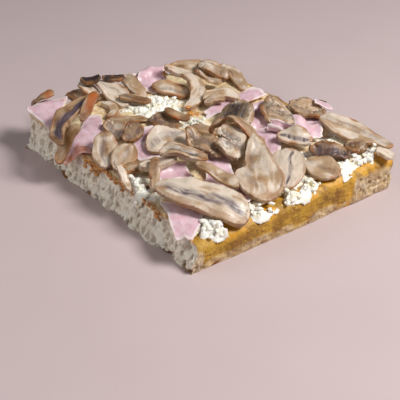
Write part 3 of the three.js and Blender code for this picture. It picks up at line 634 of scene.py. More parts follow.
# A row has a slice's middle, its turn, and its length and widths. It bends along, rolls across and
# hooks sideways by so many degrees, has folds of a height and a number, leans so that it rises toward
# the back by so many degrees, and may be egg-shaped or hollow on one side by a share of its width.
SLICES = [
    dict(name="ham_left_corner", at=(-75, -73), turn=-25, size=(32, 30, 5), folds=(0.8, 1.2), lean=4,
         hook=-36),
    dict(name="mushroom_toasted_bit", at=(-92, -68), turn=50, size=(14, 10), roll=-30, lean=14, thick=2.4),
    dict(name="ham_left_drape", at=(-40.5, -65), turn=-39, size=(48, 9, 24), folds=(0.7, 2)),
    dict(name="mushroom_wedge_left", at=(-36, -84), turn=105, size=(20, 10), hollow=0.5, roll=-35,
         thick=2.6, lean=26),
    dict(name="ham_back", at=(-82, 14), turn=-30, size=(28, 20, 20), folds=(3, 1.6), lean=18),
    dict(name="ham_strip", at=(-24, 41), turn=93, size=(49, 8, 13), folds=(0.6, 1), lean=6),
    dict(name="ham_right_fold", at=(5, 39), turn=-40, size=(24, 14, 15), folds=(2.4, 1.7), lean=16),
    dict(name="ham_middle_right", at=(30, 23), turn=-38, size=(31, 15, 18), folds=(0.8, 1), lean=4),
    dict(name="ham_behind", at=(22, 69), turn=-28, size=(26, 16, 18), folds=(1.4, 1.5), lean=8),
    dict(name="ham_middle", at=(-8, -44), turn=-20, size=(28, 13, 15), folds=(1, 1.4), lean=16),
    dict(name="ham_centre", at=(40, -26), turn=-30, size=(36, 12, 20), folds=(1.9, 1.8), lean=8),
    dict(name="ham_front_corner", at=(67.5, -71.5), turn=-40, size=(32, 27, 8), folds=(0.7, 1)),
    dict(name="ham_rolled_rim", at=(30, -50), turn=74, size=(18, 14, 15), folds=(0.6, 1), roll=130,
         lean=12),
    dict(name="ham_front_right", at=(70, -29), turn=5, size=(12, 8, 9), folds=(0.8, 1), lean=10),
    dict(name="mushroom_dark_curl", at=(-87, -45), turn=5, size=(18, 11), hollow=0.3, roll=60, lean=20),
    dict(name="mushroom_spotted", at=(-85, -36), turn=24, size=(14, 11), roll=20, lean=10),
    dict(name="mushroom_left_stem", at=(-82, -4), turn=-8, size=(36, 9), hook=25, bend=-25, roll=-25,
         lean=12, thick=4),
    dict(name="mushroom_left_broad", at=(-76, -24), turn=8, size=(30, 19), hollow=0.3, bend=-14, roll=25,
         lean=10),
    dict(name="mushroom_dark_bit_left", at=(-86, -34), turn=60, size=(13, 7), bend=30, lean=10),
    dict(name="mushroom_dark_bit_back", at=(-87, -15), turn=70, size=(15, 6), bend=25, lean=8, thick=2.4),
    dict(name="mushroom_ear", at=(-60, -33), turn=-20, size=(22, 5.5), hook=-150, lean=4, thick=3.5),
    dict(name="mushroom_arc", at=(-54, -75), turn=118, size=(56, 11), hook=-100, bend=-6, roll=16, lean=8,
         thick=3.6),
    dict(name="mushroom_thin_long", at=(-42, -34), turn=58, size=(28, 7), hollow=0.4, bend=-15, lean=12,
         thick=2.4),
    dict(name="mushroom_clump_left", at=(-33, -50), turn=30, size=(16, 13), roll=60, lean=25),
    dict(name="mushroom_clump_right", at=(-16, -49), turn=78, size=(12, 11), roll=55, lean=28),
    dict(name="mushroom_front_oval", at=(-12, -72), turn=-34, size=(23, 15), roll=-12, lean=18, thick=3.6),
    dict(name="mushroom_front_oval_right", at=(1, -67), turn=-55, size=(22, 13), roll=-15, lean=15,
         thick=3.6),
    dict(name="mushroom_olive_wedge", at=(13, -70), turn=84, size=(19, 9), hollow=0.5, roll=-35, lean=8),
    dict(name="mushroom_stem_block", at=(21, -57), turn=73, size=(22, 7), roll=20, lean=6, thick=4.5),
    dict(name="mushroom_upright_stem", at=(29, -65), turn=-39, size=(19, 6), bend=-20, thick=4),
    dict(name="mushroom_shadowed", at=(-25, -17), turn=35, size=(18, 13), roll=45, lean=20),
    dict(name="mushroom_pale_large", at=(1, -34), turn=87, size=(29, 19), roll=40, lean=20),
    dict(name="mushroom_hollow_curl", at=(26, -41), turn=62, size=(28, 14), bend=-10, roll=150, lean=10),
    dict(name="mushroom_grey_back", at=(-62, 15), turn=50, size=(24, 14), egg=0.4, hollow=0.3, lean=16),
    dict(name="mushroom_back_top", at=(-84, 50), turn=55, size=(32, 13), roll=-30, bend=-20, lean=22),
    dict(name="mushroom_column", at=(-52, 30), turn=-16, size=(53, 10), hook=-150, roll=20, lean=12,
         thick=4),
    dict(name="mushroom_ring", at=(-31, 35), turn=50, size=(25, 7), hook=-80, lean=25, thick=3.5),
    dict(name="mushroom_back_small", at=(-27, 26), turn=60, size=(13, 8), hollow=0.4, roll=25, lean=12),
    dict(name="mushroom_back_slice", at=(-56, 68), turn=-13, size=(36, 11), hollow=0.4, hook=-20, roll=-30,
         lean=8),
    dict(name="mushroom_back_edge", at=(-69, 60), turn=30, size=(23, 8), hook=-90, lean=25, thick=3.5),
    dict(name="mushroom_fold_left", at=(13, 48), turn=50, size=(24, 21), roll=-30, lean=13, ripple=3,
         folds=(2, 1.2)),
    dict(name="mushroom_fold_right", at=(21, 65), turn=35, size=(23, 15), lean=20, ripple=2.5,
         folds=(1.5, 1.2)),
    dict(name="ham_curl", at=(29, 38), turn=38, size=(20, 14, 15), folds=(0.5, 1), roll=200),
    dict(name="ham_peak", at=(42, 47), turn=65, size=(17, 15, 7), folds=(0.8, 1), roll=-70, lean=30),
    dict(name="mushroom_hood", at=(-2, 24), turn=-50, size=(18, 34), roll=-190, lean=15),
    dict(name="mushroom_brown_long", at=(22, -22), turn=5, size=(28, 13), roll=-40, lean=22, ripple=2,
         folds=(1.2, 1.3)),
    dict(name="mushroom_whorl", at=(35, -6), turn=140, size=(34, 11), lean=32, thick=5, hook=235),
    dict(name="mushroom_arch", at=(22, 2), turn=22, size=(46, 11), bend=-170, lean=22),
    dict(name="mushroom_tan_flat", at=(77, 27), turn=22, size=(21, 17), roll=-10, lean=12),
    dict(name="mushroom_fan", at=(67, 6), turn=-45, size=(31, 23), egg=-0.2, bend=-10, roll=-12, lean=14),
    dict(name="mushroom_stemmed", at=(59.5, -11), turn=-35, size=(51, 29), kind="whole", hook=20, bend=-20,
         lean=11, thick=3.6),
    dict(name="mushroom_grey_gilled", at=(44, 33), turn=40, size=(21, 12), roll=-18, lean=8),
    dict(name="mushroom_grey_black", at=(67, 42), turn=40, size=(24, 13), roll=60, lean=20, ripple=2.5,
         folds=(1.6, 1.4)),
    dict(name="mushroom_small_round", at=(72, 59.5), turn=45, size=(13, 10), roll=-60, lean=15, thick=4.5),
    dict(name="mushroom_right_large", at=(59, 73), turn=26, size=(47, 27), egg=-0.2, hollow=0.2, bend=4,
         roll=-6, lean=9),
    dict(name="mushroom_shoulder_oval", at=(87, 71), turn=25, size=(11, 9), lean=0),
    dict(name="mushroom_thin_edged", at=(53, -37), turn=13, size=(29, 9), hollow=0.4, lean=20, thick=2.4),
    dict(name="mushroom_front_large", at=(65.5, -58.5), turn=34, size=(54, 23), egg=0.3, hollow=0.2,
         bend=-18, roll=-30, lean=20, thick=5),
]


SCRAPS = [
    dict(name="ham_back_scrap", at=(25, 76), turn=45, size=(11, 6, 7), folds=(0.5, 1)),
    dict(name="mushroom_gill_bit", at=(42, -52), turn=50, size=(12, 8), roll=-40, thick=2),
    dict(name="mushroom_toasted_curl", at=(-23, -9), turn=40, size=(16, 8), hook=60, roll=-30),
    dict(name="mushroom_dark_bit_right", at=(14, 84), turn=20, size=(9, 6), roll=-30),
    dict(name="mushroom_orange_flap", at=(-50, -59), turn=118, size=(20, 7), roll=-30, thick=2),
    dict(name="mushroom_edge_strip", at=(16, -79), turn=-10, size=(20, 4), thick=2),
    dict(name="mushroom_scrap_left", at=(-60, -16), turn=60, size=(20, 9), roll=-30, hollow=0.4),
    dict(name="mushroom_scrap_middle", at=(-6, 3), turn=30, size=(20, 9), hook=50, roll=-20),
    dict(name="mushroom_scrap_back", at=(-56, 44), turn=70, size=(18, 9), roll=-30),
]


def cap(s, t, piece):
    """An oval cut through a cap: the distance along it is a cosine and the half width a sine of the
    same angle. It is wider toward its end if it is egg-shaped, its right side is drawn in if it is
    hollow, and noise makes its sides uneven."""
    size = piece["size"]
    angle = math.pi * mix(0.1, 0.9, s)
    along = -0.5 * size[0] * np.cos(angle) / math.cos(0.1 * math.pi)
    tip = 0.026 * size[0] * (1 - t * t) * (2 * s - 1) ** 5
    uneven = 1 + RAGGED_SIDE * noise(s * 3.3, np.where(t > 0, 5.0, 9.0), piece["seed"])
    half = 0.5 * size[1] * np.sin(angle) * (1 + piece.get("egg", 0) * (2 * s - 1)) * uneven
    drawn = np.where(t < 0, 1 - piece.get("hollow", 0) * np.sin(angle) ** 2, 1)
    return along + tip, half * drawn * t


def whole(s, t, piece):
    """A cut through stem and cap: a stem that widens a little along its length and flares into a cap
    with a round far side, slowly on its left and in a short step on its right, where the flank
    trails back toward the stem."""
    size = piece["size"]
    stem = mix(0.13, 0.22, smooth(s / 0.3))
    flare = np.where(t > 0, smooth((s - 0.2) / 0.62), smooth((s - 0.42) / 0.26))
    crown = np.sqrt(1 - 0.7 * clamp((s - 0.7) / 0.3) ** 2)
    trail = np.where(t < 0, 0.1 * flare * (1 - s), 0) + 0.03 * smooth((s - 0.7) / 0.3)
    along = size[0] * (s - 0.5 - trail * t * t + 0.03 * (1 - t * t) * s ** 5)
    return along, mix(stem, 0.5 * crown, flare) * size[1] * t


def leaf(s, t, piece):
    """A torn piece of a slice of ham: its width goes from one end's to the other's, and noise tears
    its sides and its ends."""
    size, seed = piece["size"], piece["seed"]
    tear = 1 + TORN_SIDE * noise(s * 3.1, np.where(t > 0, 5.0, 9.0), seed)
    ends = 0.06 * size[0] * noise(t * 1.6, np.where(s > 0.5, 2.0, 7.0), seed)
    return size[0] * (s - 0.5) + ends, 0.5 * mix(size[1], size[2], s) * tear * t


OUTLINES = {"cap": cap, "whole": whole, "leaf": leaf}


def arch(along, height, degrees, length):
    """Wraps a strip round a circle, with its height kept from the circle."""
    radius = length / math.radians(degrees or 0.1)
    angle = along / radius
    return (radius - height) * np.sin(angle), radius - (radius - height) * np.cos(angle)


def slice_grid(piece, rows, columns):
    """The middle surface of a slice before it settles: its outline, raised by folds and ripples,
    arched across, along and then sideways, and turned to its place. Also gives how much higher each
    point lies because the slice leans, and its place in the flat cut."""
    s = np.linspace(0, 1, rows + 1)[:, None]
    t = np.linspace(-1, 1, columns + 1)[None, :]
    a, b = OUTLINES[piece["kind"]](s, t, piece)
    high, number = piece.get("folds", (0, 1))
    fold = high * np.sin(2 * math.pi * (number * s + 0.15 * t) + piece["seed"])
    height = fold + piece["ripple"] * noise(a / 9, b / 9, piece["seed"])
    size = piece["size"]
    across, raised = arch(b, height, piece.get("roll", 0), max(size[1:]))
    forward, lifted = arch(a, raised, piece.get("bend", 0), size[0])
    along, across = arch(forward, across, piece.get("hook", 0), size[0])
    c, s = math.cos(math.radians(piece["turn"])), math.sin(math.radians(piece["turn"]))
    x, y = along * c - across * s, along * s + across * c
    slope = math.tan(math.radians(piece.get("lean", 0)))
    rise = slope * (x * math.cos(LEAN_TOWARD) + y * math.sin(LEAN_TOWARD))
    points = np.stack(np.broadcast_arrays(x + piece["at"][0], y + piece["at"][1], lifted), axis=-1)
    return points, rise + 0 * lifted, a + 0 * b, b


def normals(grid):
    """Unit normals of a grid of points: the cross product of its neighbours' distances."""
    padded = np.concatenate([grid[:1], grid, grid[-1:]])
    along = padded[2:] - padded[:-2]
    padded = np.concatenate([grid[:, :1], grid, grid[:, -1:]], axis=1)
    across = padded[:, 2:] - padded[:, :-2]
    cross = np.cross(along, across)
    return cross / np.linalg.norm(cross, axis=-1, keepdims=True)


def rim_share(grid):
    """0 in the middle of a grid and 1 at its edges."""
    i = np.abs(np.linspace(-1, 1, grid.shape[0]))[:, None]
    j = np.abs(np.linspace(-1, 1, grid.shape[1]))[None, :]
    return np.maximum(i, j)


def rim_loop(rows, columns):
    """The numbers of a grid's edge points, anticlockwise."""
    return np.concatenate([np.arange(rows - 1) * columns, (rows - 1) * columns + np.arange(columns - 1),
                           np.arange(rows - 1, 0, -1) * columns + columns - 1, np.arange(columns - 1, 0, -1)])


def solid_triangles(grid, thick):
    """The corners of the plain solid's triangles: both faces of the slice and its edge. A quad is
    split from its first corner, and those at two corners of the slice the other way, through them."""
    rows, columns = grid.shape[:2]
    half = 0.5 * thick * (1 - 0.35 * rim_share(grid) ** 4)
    shift = normals(grid) * half[..., None]
    points = np.concatenate([(grid + shift).reshape(-1, 3), (grid - shift).reshape(-1, 3)])
    count = rows * columns
    quads = grid_quads(rows, columns)
    split_through_corner = [columns - 2, 1 - columns]
    quads[split_through_corner] = np.roll(quads[split_through_corner], 1, axis=1)
    a, d, c, b = quads.T
    loop = rim_loop(rows, columns)
    after = np.roll(loop, -1)
    faces = [(a, b, c), (a, c, d), (count + a, count + c, count + b), (count + a, count + d, count + c),
             (after, loop, count + loop), (after, count + loop, count + after)]
    return points[np.concatenate([np.stack(face, 1) for face in faces])]


def covered(corners):
    """The cells of the height map below or above each triangle, and that of its first corner, with
    the triangle's height there: whole batches of triangles of like size at once."""
    flat = (corners[..., :2] + MAP_REACH) / MAP_CELL - 0.5
    low = np.ceil(flat.min(1))
    span = (np.floor(flat.max(1)) - low).max(1) + 1
    first = np.floor(flat[:, 0] + 0.5).astype(int)
    found = [(first[:, 0], first[:, 1], corners[:, 0, 2])]
    for least, most in MAP_BATCHES:
        batch = (span >= least) & (span < most)
        if not batch.any():
            continue
        steps = np.arange(int(span[batch].max()))
        i = low[batch, 0, None, None] + steps[None, :, None]
        j = low[batch, 1, None, None] + steps[None, None, :]
        (ax, ay), (bx, by), (cx, cy) = (flat[batch, k].T[:, :, None, None] for k in range(3))
        za, zb, zc = (corners[batch, k, 2, None, None] for k in range(3))
        area = (bx - ax) * (cy - ay) - (by - ay) * (cx - ax)
        safe = np.where(np.abs(area) < 1e-6, 1, area)
        v = ((i - ax) * (cy - ay) - (j - ay) * (cx - ax)) / safe
        w = ((bx - ax) * (j - ay) - (by - ay) * (i - ax)) / safe
        inside = (np.abs(area) >= 1e-6) & (v >= 0) & (w >= 0) & (v + w <= 1)
        z = za + v * (zb - za) + w * (zc - za)
        wide_i, wide_j = i + 0 * w, j + 0 * v
        found.append((wide_i[inside].astype(int), wide_j[inside].astype(int), z[inside]))
    return [np.concatenate(part) for part in zip(*found)]


def raise_map(heights, corners):
    """Takes a solid into the height map, widened by a cell."""
    i, j, z = covered(corners)
    for di in (-1, 0, 1):
        for dj in (-1, 0, 1):
            np.maximum.at(heights, (i + di, j + dj), z)


def lift(heights, corners):
    """How far a solid has to rise at each of its cells to lie just above what is there, for a part
    of the map a little wider than the solid, and the first cell of that part."""
    i, j, z = covered(corners)
    need = np.full(heights.shape, -np.inf)
    np.maximum.at(need, (i, j), heights[i, j] + REST_GAP - z)
    first = (i.min() - WIDENED, j.min() - WIDENED)
    part = need[first[0]:i.max() + WIDENED + 1, first[1]:j.max() + WIDENED + 1]
    return np.where(np.isinf(part), np.nan, part), first


def averaged(field):
    """The mean of a field over each cell and its four neighbours, where it has a value there."""
    held = ~np.isnan(field)
    total, number = np.where(held, field, 0), held.astype(float)
    for sums, own in ((total, np.where(held, field, 0)), (number, held.astype(float))):
        sums[1:] += own[:-1]
        sums[:-1] += own[1:]
        sums[:, 1:] += own[:, :-1]
        sums[:, :-1] += own[:, 1:]
    return np.where(number > 0, total / np.maximum(number, 1), np.nan)


def sagged(need, limpness, evening):
    """Lets a limp sheet down on what holds it up: each round it is pulled toward its neighbours and
    sinks a little, but never below its supports. Then it is evened out and widened."""
    sheet, empty = need.copy(), np.isnan(need)
    for _ in range(SAG_ROUNDS):
        sheet = np.where(empty, np.nan, np.fmax(need, averaged(sheet) - limpness * MAP_CELL ** 2 / 5))
    for _ in range(evening):
        sheet = np.where(empty, np.nan, averaged(sheet))
    for _ in range(WIDENED):
        sheet = np.where(np.isnan(sheet), averaged(sheet), sheet)
    return sheet


def sheet_at(sheet, corner, points):
    """The sheet's height at points between the middles of its cells."""
    place = (points[..., :2] + MAP_REACH) / MAP_CELL - 0.5 - corner
    low = np.floor(place).astype(int)
    i, j = low[..., 0], low[..., 1]
    u, v = (place[..., k] - low[..., k] for k in (0, 1))
    filled = np.where(np.isnan(sheet), np.nanmean(sheet), sheet)
    return mix(mix(filled[i, j], filled[i + 1, j], u), mix(filled[i, j + 1], filled[i + 1, j + 1], u), v)


def node_triangles(name):
    """The corners of the upward triangles of one of the frame's solids, in the slab's own place."""
    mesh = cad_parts[name].data
    mesh.calc_loop_triangles()
    numbers = np.zeros(len(mesh.loop_triangles) * 3, np.int32)
    mesh.loop_triangles.foreach_get("vertices", numbers)
    places = np.zeros(len(mesh.vertices) * 3)
    mesh.vertices.foreach_get("co", places)
    corners = (places.reshape(-1, 3) * 1000 - [*SLAB_MIDDLE, 0])[numbers.reshape(-1, 3)]
    upward = np.cross(corners[:, 1] - corners[:, 0], corners[:, 2] - corners[:, 0])[:, 2] > 0
    return corners[upward]


def settle(heights, number, row):
    """Lays one slice on the height map: it sags over its supports, leans against what lies behind
    it, then rises or drops as a whole until it just clears them. The plain solid is what is laid, and
    a finer grid takes the same sheet. Gives the slice's own values, its grid and its flat cut."""
    is_ham = row["name"].startswith("ham")
    piece = {"kind": "leaf" if is_ham else "cap", "seed": number + 1, **(HAM if is_ham else MUSHROOM),
             "nodes": [row["name"]] if row in SLICES else [], **row}
    long, wide = piece["size"][0], max(piece["size"][1:])
    turns = long / 5 + abs(piece.get("hook", 0)) / 45
    steps = (8, 4) if is_ham else (round(min(9, max(4, turns))), 4 if wide > 12 else 3)
    plain, rise, _, _ = slice_grid(piece, *steps)
    need, corner = lift(heights, solid_triangles(plain, piece["thick"]))
    sheet = sagged(need, piece["limpness"], piece["evening"])
    cells = np.floor((plain[..., :2] + MAP_REACH) / MAP_CELL).astype(int) - corner
    plain[..., 2] += sheet[cells[..., 0], cells[..., 1]] + rise
    last_lift = np.nanmax(lift(heights, solid_triangles(plain, piece["thick"]))[0])
    plain[..., 2] += last_lift
    raise_map(heights, solid_triangles(plain, piece["thick"]))
    fine_grid, rise, a, b = slice_grid(piece, round(long / FINE_STEP), round(wide / FINE_STEP))
    fine_grid[..., 2] += sheet_at(sheet, corner, fine_grid) + rise + last_lift
    return piece, fine_grid, a, b


heights = np.zeros((2 * MAP_REACH // MAP_CELL, 2 * MAP_REACH // MAP_CELL))
for layer in ("bread", "cheese"):
    raise_map(heights, node_triangles(layer))
ground = heights.copy()
settled = [settle(heights, number, row) for number, row in enumerate(SLICES + SCRAPS)]


def slice_body(grid, half, bulge):
    """The closed surface of a slice: both faces half a thickness to each side of the middle
    surface, and between them a cut edge whose corners are only a little round: the roots of a sine
    and a cosine."""
    rows, columns = grid.shape[:2]
    normal = normals(grid)
    upper, lower = grid + normal * half[..., None], grid - normal * half[..., None]
    loop = rim_loop(rows, columns)
    middle, up = grid.reshape(-1, 3)[loop], normal.reshape(-1, 3)[loop]
    ahead = np.roll(middle, -1, axis=0) - np.roll(middle, 1, axis=0)
    out = np.cross(ahead, up)
    out /= np.maximum(np.linalg.norm(out, axis=1, keepdims=True), 1e-9)
    angle = np.linspace(math.pi / 2, -math.pi / 2, EDGE_RINGS + 2)[1:-1, None, None]
    edge_half = half.ravel()[loop][None, :, None]
    rings = middle + up * edge_half * np.sign(angle) * np.abs(np.sin(angle)) ** 0.5
    rings = rings + out * bulge * np.cos(angle) ** 0.5
    number = rows * columns
    points = np.concatenate([upper.reshape(-1, 3), lower.reshape(-1, 3), rings.reshape(-1, 3)])
    faces = grid_quads(rows, columns)[:, ::-1]
    ring_numbers = 2 * number + np.arange(EDGE_RINGS * len(loop)).reshape(EDGE_RINGS, -1)
    numbers = np.concatenate([[loop], ring_numbers, [number + loop]])
    after = np.roll(numbers, -1, axis=1)
    walls = np.stack([after[:-1], numbers[:-1], numbers[1:], after[1:]], axis=-1).reshape(-1, 4)
    return points, [faces, number + faces[:, ::-1], walls], loop


def over_slice(values, loop, edge=None):
    """A mask given for the grid, carried to both faces of its slice and to the edge between them,
    which may have values of its own."""
    around = values if edge is None else edge
    return np.concatenate([values.ravel(), values.ravel(), np.tile(around.ravel()[loop], EDGE_RINGS)])


# The ham: thin slices of cooked ham, torn by hand. The meat is pale pink and moist, darker where it
# dried in the oven, and its rims are whitish.
HAM_COLOURS = {
    "meat": colour(214, 174, 182), "pale": colour(228, 198, 206), "spot": colour(196, 142, 150),
    "rim": colour(238, 222, 216), "crisp": colour(192, 112, 62)}
HAM_EDGE_BULGE = 0.45
HAM_UNEVEN = 0.16
CRISP_END = {"ham_left_drape": 0.9}


def ham_material():
    """Pink meat in two shades with fine darker spots, whitish rims, and orange-brown where it is
    crisp, under a thin moist coat."""
    shader = Shader("ham", Subsurface_Weight=0.25, Subsurface_Scale=0.003, Subsurface_Radius=(1, 0.5, 0.4),
                    Coat_Weight=0.25, Coat_Roughness=0.25)
    tint = HAM_COLOURS
    wide, fine = shader.speckle(7, 3), shader.speckle(1.3, 3)
    base = shader.blend(tint["meat"], tint["pale"], shader.step(wide, 0.3, 0.72))
    base = shader.blend(base, tint["spot"], 0.3 * shader.step(fine, 0.52, 0.75))
    base = shader.blend(base, tint["rim"], 0.8 * shader.mask("rim"))
    base = shader.blend(base, tint["crisp"], shader.mask("toast"))
    return shader.finish(base, 0.38 + 0.2 * fine, fine + wide, 0.25)


def ham_masks(name, a, b, rim, seed):
    """Where a slice of ham is whitish, along its rim, and where it is toasted: in spots near the rim,
    and past the crisp end of a slice that has one."""
    pale = smooth((rim - 0.86 + 0.1 * noise(a / 5, b / 5, seed + 72)) / 0.1)
    toast = 0.6 * smooth(1.6 * noise(a / 6, b / 6, seed + 73) - 0.8) * smooth((rim - 0.5) / 0.4)
    s = np.linspace(0, 1, len(a))[:, None]
    crisp = smooth((s - CRISP_END.get(name, 2) + 0.08 * noise(a / 3, b / 3, seed + 74)) / 0.06)
    crisp = crisp * (0.65 + 0.35 * noise(a / 1.6, b / 1.6, seed + 75))
    return {"rim": pale * (1 - crisp), "toast": np.maximum(toast, crisp)}


ham = ham_material()
for piece, grid, a, b in settled:
    if piece["kind"] != "leaf":
        continue
    seed = piece["seed"]
    rim = rim_share(grid)
    grid = grid + normals(grid) * (HAM_UNEVEN * noise(a / 2.3, b / 2.3, seed + 70))[..., None]
    half = 0.5 * piece["thick"] * (1 - 0.35 * rim ** 4) * (1 + 0.12 * noise(a / 3, b / 3, seed + 71))
    points, faces, loop = slice_body(grid, half, HAM_EDGE_BULGE)
    flat = ham_masks(piece["name"], a, b, rim, seed)
    masks = {mask: over_slice(values, loop) for mask, values in flat.items()}
    add_piece(piece["name"] + "_slice", points, faces, masks, ham, "ham", *piece["nodes"])

# The mushrooms: cooked slices of cultivated mushrooms, one through stem and cap. The flesh is cream
# to tan and shrank into wrinkles, the gills are a grey to purple zone of fine lines, the skin of the
# cap is a browner band along one side, and what stood up in the oven is toasted orange-brown.
MUSHROOM_COLOURS = {
    "cream": colour(216, 196, 174), "tan": colour(180, 148, 114), "brown": colour(124, 84, 44),
    "white": colour(232, 220, 208), "gill": colour(90, 74, 82), "skin": colour(166, 126, 86),
    "toast": colour(184, 96, 34), "dark": colour(44, 32, 34)}
MUSHROOM_EDGE_BULGE = 0.3
LEAST_HALF = 0.4
GILL_DEPTH = 0.35
LIP = 0.2
RIM_RAGGED = 0.15
# A look says how brown the flesh is, how strong the gills are and where, how wide and which way, on
# which side the skin is and how wide its band is, how far toast and dark cover it and from how
# far out, how much painted shade darkens its hollow inside, and how deep wrinkles and furrows are.
# The dark is partly dark spots and partly painted shade, for slices that lie in shadow.
LOOK = dict(tone=0.35, gill=0.5, gill_at=-0.15, gill_wide=0.4, along=0, skin=1, toast=0.25, dark=0.15,
            inside=0, wrinkle=0.16, crinkle=0.1, band=0.14, toast_from=0.6)
# Dark on slices such as shadowed and clump_left also paints the shade they lie in.
LOOKS = {
    "toasted_bit": dict(tone=0.7, gill=0, toast=0.7, toast_from=0),
    "wedge_left": dict(tone=0.75, gill=0, wrinkle=0.12),
    "dark_curl": dict(tone=0.9, gill=0.3, dark=0.4),
    "spotted": dict(tone=0.2, gill=0, toast=0.4),
    "left_stem": dict(tone=0.35, gill=0, dark=0.05),
    "left_broad": dict(tone=-0.05, gill=0.5, gill_at=0.25, gill_wide=0.16, along=1, dark=0.05),
    "dark_bit_left": dict(tone=1.1, dark=1.7),
    "dark_bit_back": dict(tone=1.1, dark=1.7),
    "ear": dict(tone=0.25, gill=0, dark=0.05),
    "arc": dict(tone=0.55, gill=2.2, gill_at=-0.3, gill_wide=0.7, along=1, dark=0.3),
    "thin_long": dict(tone=0.5, gill=0, skin=-1, toast=0.5, crinkle=0.3),
    "clump_left": dict(tone=0.45, gill=0.85, gill_wide=0.7, dark=0.3, crinkle=0.4),
    "clump_right": dict(tone=0.6, gill=0.7, gill_wide=0.6, dark=0.4, wrinkle=0.45, crinkle=0.6),
    "front_oval": dict(tone=0.35, gill=0.6, along=1, toast=0.3),
    "front_oval_right": dict(tone=0.3, gill=0.4, along=1),
    "olive_wedge": dict(tone=0.65, gill=0.25),
    "stem_block": dict(tone=-0.1, gill=0, skin=0, toast=0, dark=0, wrinkle=0.12),
    "upright_stem": dict(tone=0.4, gill=0, dark=0.05),
    "shadowed": dict(tone=0.65, gill=0.6, dark=0.5, wrinkle=0.45, crinkle=0.6),
    "pale_large": dict(tone=0.05, gill=0.6, gill_at=0.3, toast=0.2, crinkle=0.25),
    "hollow_curl": dict(tone=0.4, gill=0.3, toast=0.3, inside=0.8),
    "grey_back": dict(tone=0.5, gill=0.5, toast=0.25),
    "column": dict(tone=0.1, gill=0.1, toast=0.2, dark=0),
    "ring": dict(tone=0.1, gill=0, dark=0),
    "back_small": dict(tone=0.4, gill=0.3),
    "back_slice": dict(tone=0.3, gill=0.2, skin=-1),
    "back_edge": dict(tone=0.6, gill=0.2, toast=0.4, dark=0.2, crinkle=0.6),
    "back_top": dict(tone=0.45, gill=0, dark=0.05),
    "fold_left": dict(tone=0.5, gill=0.5, gill_wide=0.5, dark=0.3, wrinkle=0.4, crinkle=1.0),
    "fold_right": dict(tone=0.5, gill=0.5, toast=0.35, dark=0.3, wrinkle=0.4, crinkle=0.9),
    "hood": dict(tone=0.5, gill=0.15, dark=0.25, inside=0.7, crinkle=0.7, toast=0.3),
    "brown_long": dict(tone=0.6, gill=0.6, gill_wide=0.5, dark=0.25, wrinkle=0.4, crinkle=0.8),
    "whorl": dict(tone=0.1, gill=0.7, gill_at=0.35, gill_wide=0.7, skin=-1, dark=0.25, wrinkle=0.4,
                  crinkle=0.6, toast=0.35),
    "arch": dict(tone=0.55, gill=0.1, toast=0.45, dark=0.1, crinkle=0.25),
    "tan_flat": dict(tone=0.4, gill=0.35, along=1),
    "fan": dict(tone=-0.05, gill=1.1, gill_at=0.2, gill_wide=0.15, along=1),
    "stemmed": dict(tone=0.2, gill=0.45, gill_at=-0.35, gill_wide=0.3, along=1, toast=0.1, band=0.2),
    "grey_gilled": dict(tone=0.1, gill=1.1, toast=0.3),
    "grey_black": dict(tone=0.8, gill=0.9, gill_wide=1, dark=0.6, wrinkle=0.5, crinkle=0.9),
    "small_round": dict(tone=0.75, gill=0.4, crinkle=0.6),
    "right_large": dict(tone=0.15, gill=0.4, gill_at=0.1, skin=-1),
    "shoulder_oval": dict(tone=0.0, gill=0, toast=0, dark=0, wrinkle=0.12),
    "thin_edged": dict(tone=0.3, gill=0.2, skin=-1),
    "front_large": dict(tone=0.0, gill=0.95, gill_at=-0.05, gill_wide=0.42, along=1, skin=-1, wrinkle=0.08,
                        band=0.5),
    "gill_bit": dict(tone=0.8, gill=1, gill_wide=1, dark=0.3),
    "toasted_curl": dict(tone=0.7, gill=0, toast=0.7),
    "dark_bit_right": dict(tone=1.0, dark=0.7),
    "orange_flap": dict(tone=0.7, gill=0, toast=0.8, toast_from=-1.5, dark=0.4),
    "edge_strip": dict(tone=0.1, gill=0, toast=0.2),
    "scrap_left": dict(tone=0.6, gill=0.6, dark=0.4),
    "scrap_middle": dict(tone=0.5, gill=0.4, toast=0.4),
    "scrap_back": dict(tone=0.4, gill=0.5, dark=0.3),
}


def mushroom_material():
    """Flesh that goes from cream by tan to brown with its tone, with white flecks of painted highlight
    for a moist sheen, then the gills, the cap's skin, toast and dark over it, the dark partly spots and
    partly painted shade, under a thin oily coat."""
    shader = Shader("mushroom", Subsurface_Weight=0.15, Subsurface_Scale=0.002,
                    Subsurface_Radius=(1, 0.75, 0.5), Coat_Weight=0.25, Coat_Roughness=0.28)
    tint = MUSHROOM_COLOURS
    wide, fine = shader.speckle(5, 4), shader.speckle(1.2, 4)
    tone = shader.mask("tone") + 0.6 * (wide - 0.5) + 0.3 * (fine - 0.5)
    base = shader.blend(tint["cream"], tint["tan"], shader.step(tone, 0.05, 0.45))
    base = shader.blend(base, tint["brown"], shader.step(tone, 0.45, 1.0))
    # White flecks: painted highlight for the moist sheen of the flesh.
    base = shader.blend(base, tint["white"], 0.25 * shader.step(fine - 0.4 * tone, 0.38, 0.54))
    base = shader.blend(base, tint["gill"], shader.mask("gill"))
    base = shader.blend(base, tint["skin"], shader.mask("skin") * (0.75 + 0.25 * wide))
    base = shader.blend(base, tint["toast"], shader.mask("toast"))
    base = shader.blend(base, tint["dark"], shader.mask("dark"))
    return shader.finish(base, 0.3 + 0.3 * fine, fine + 0.6 * wide, 0.35)


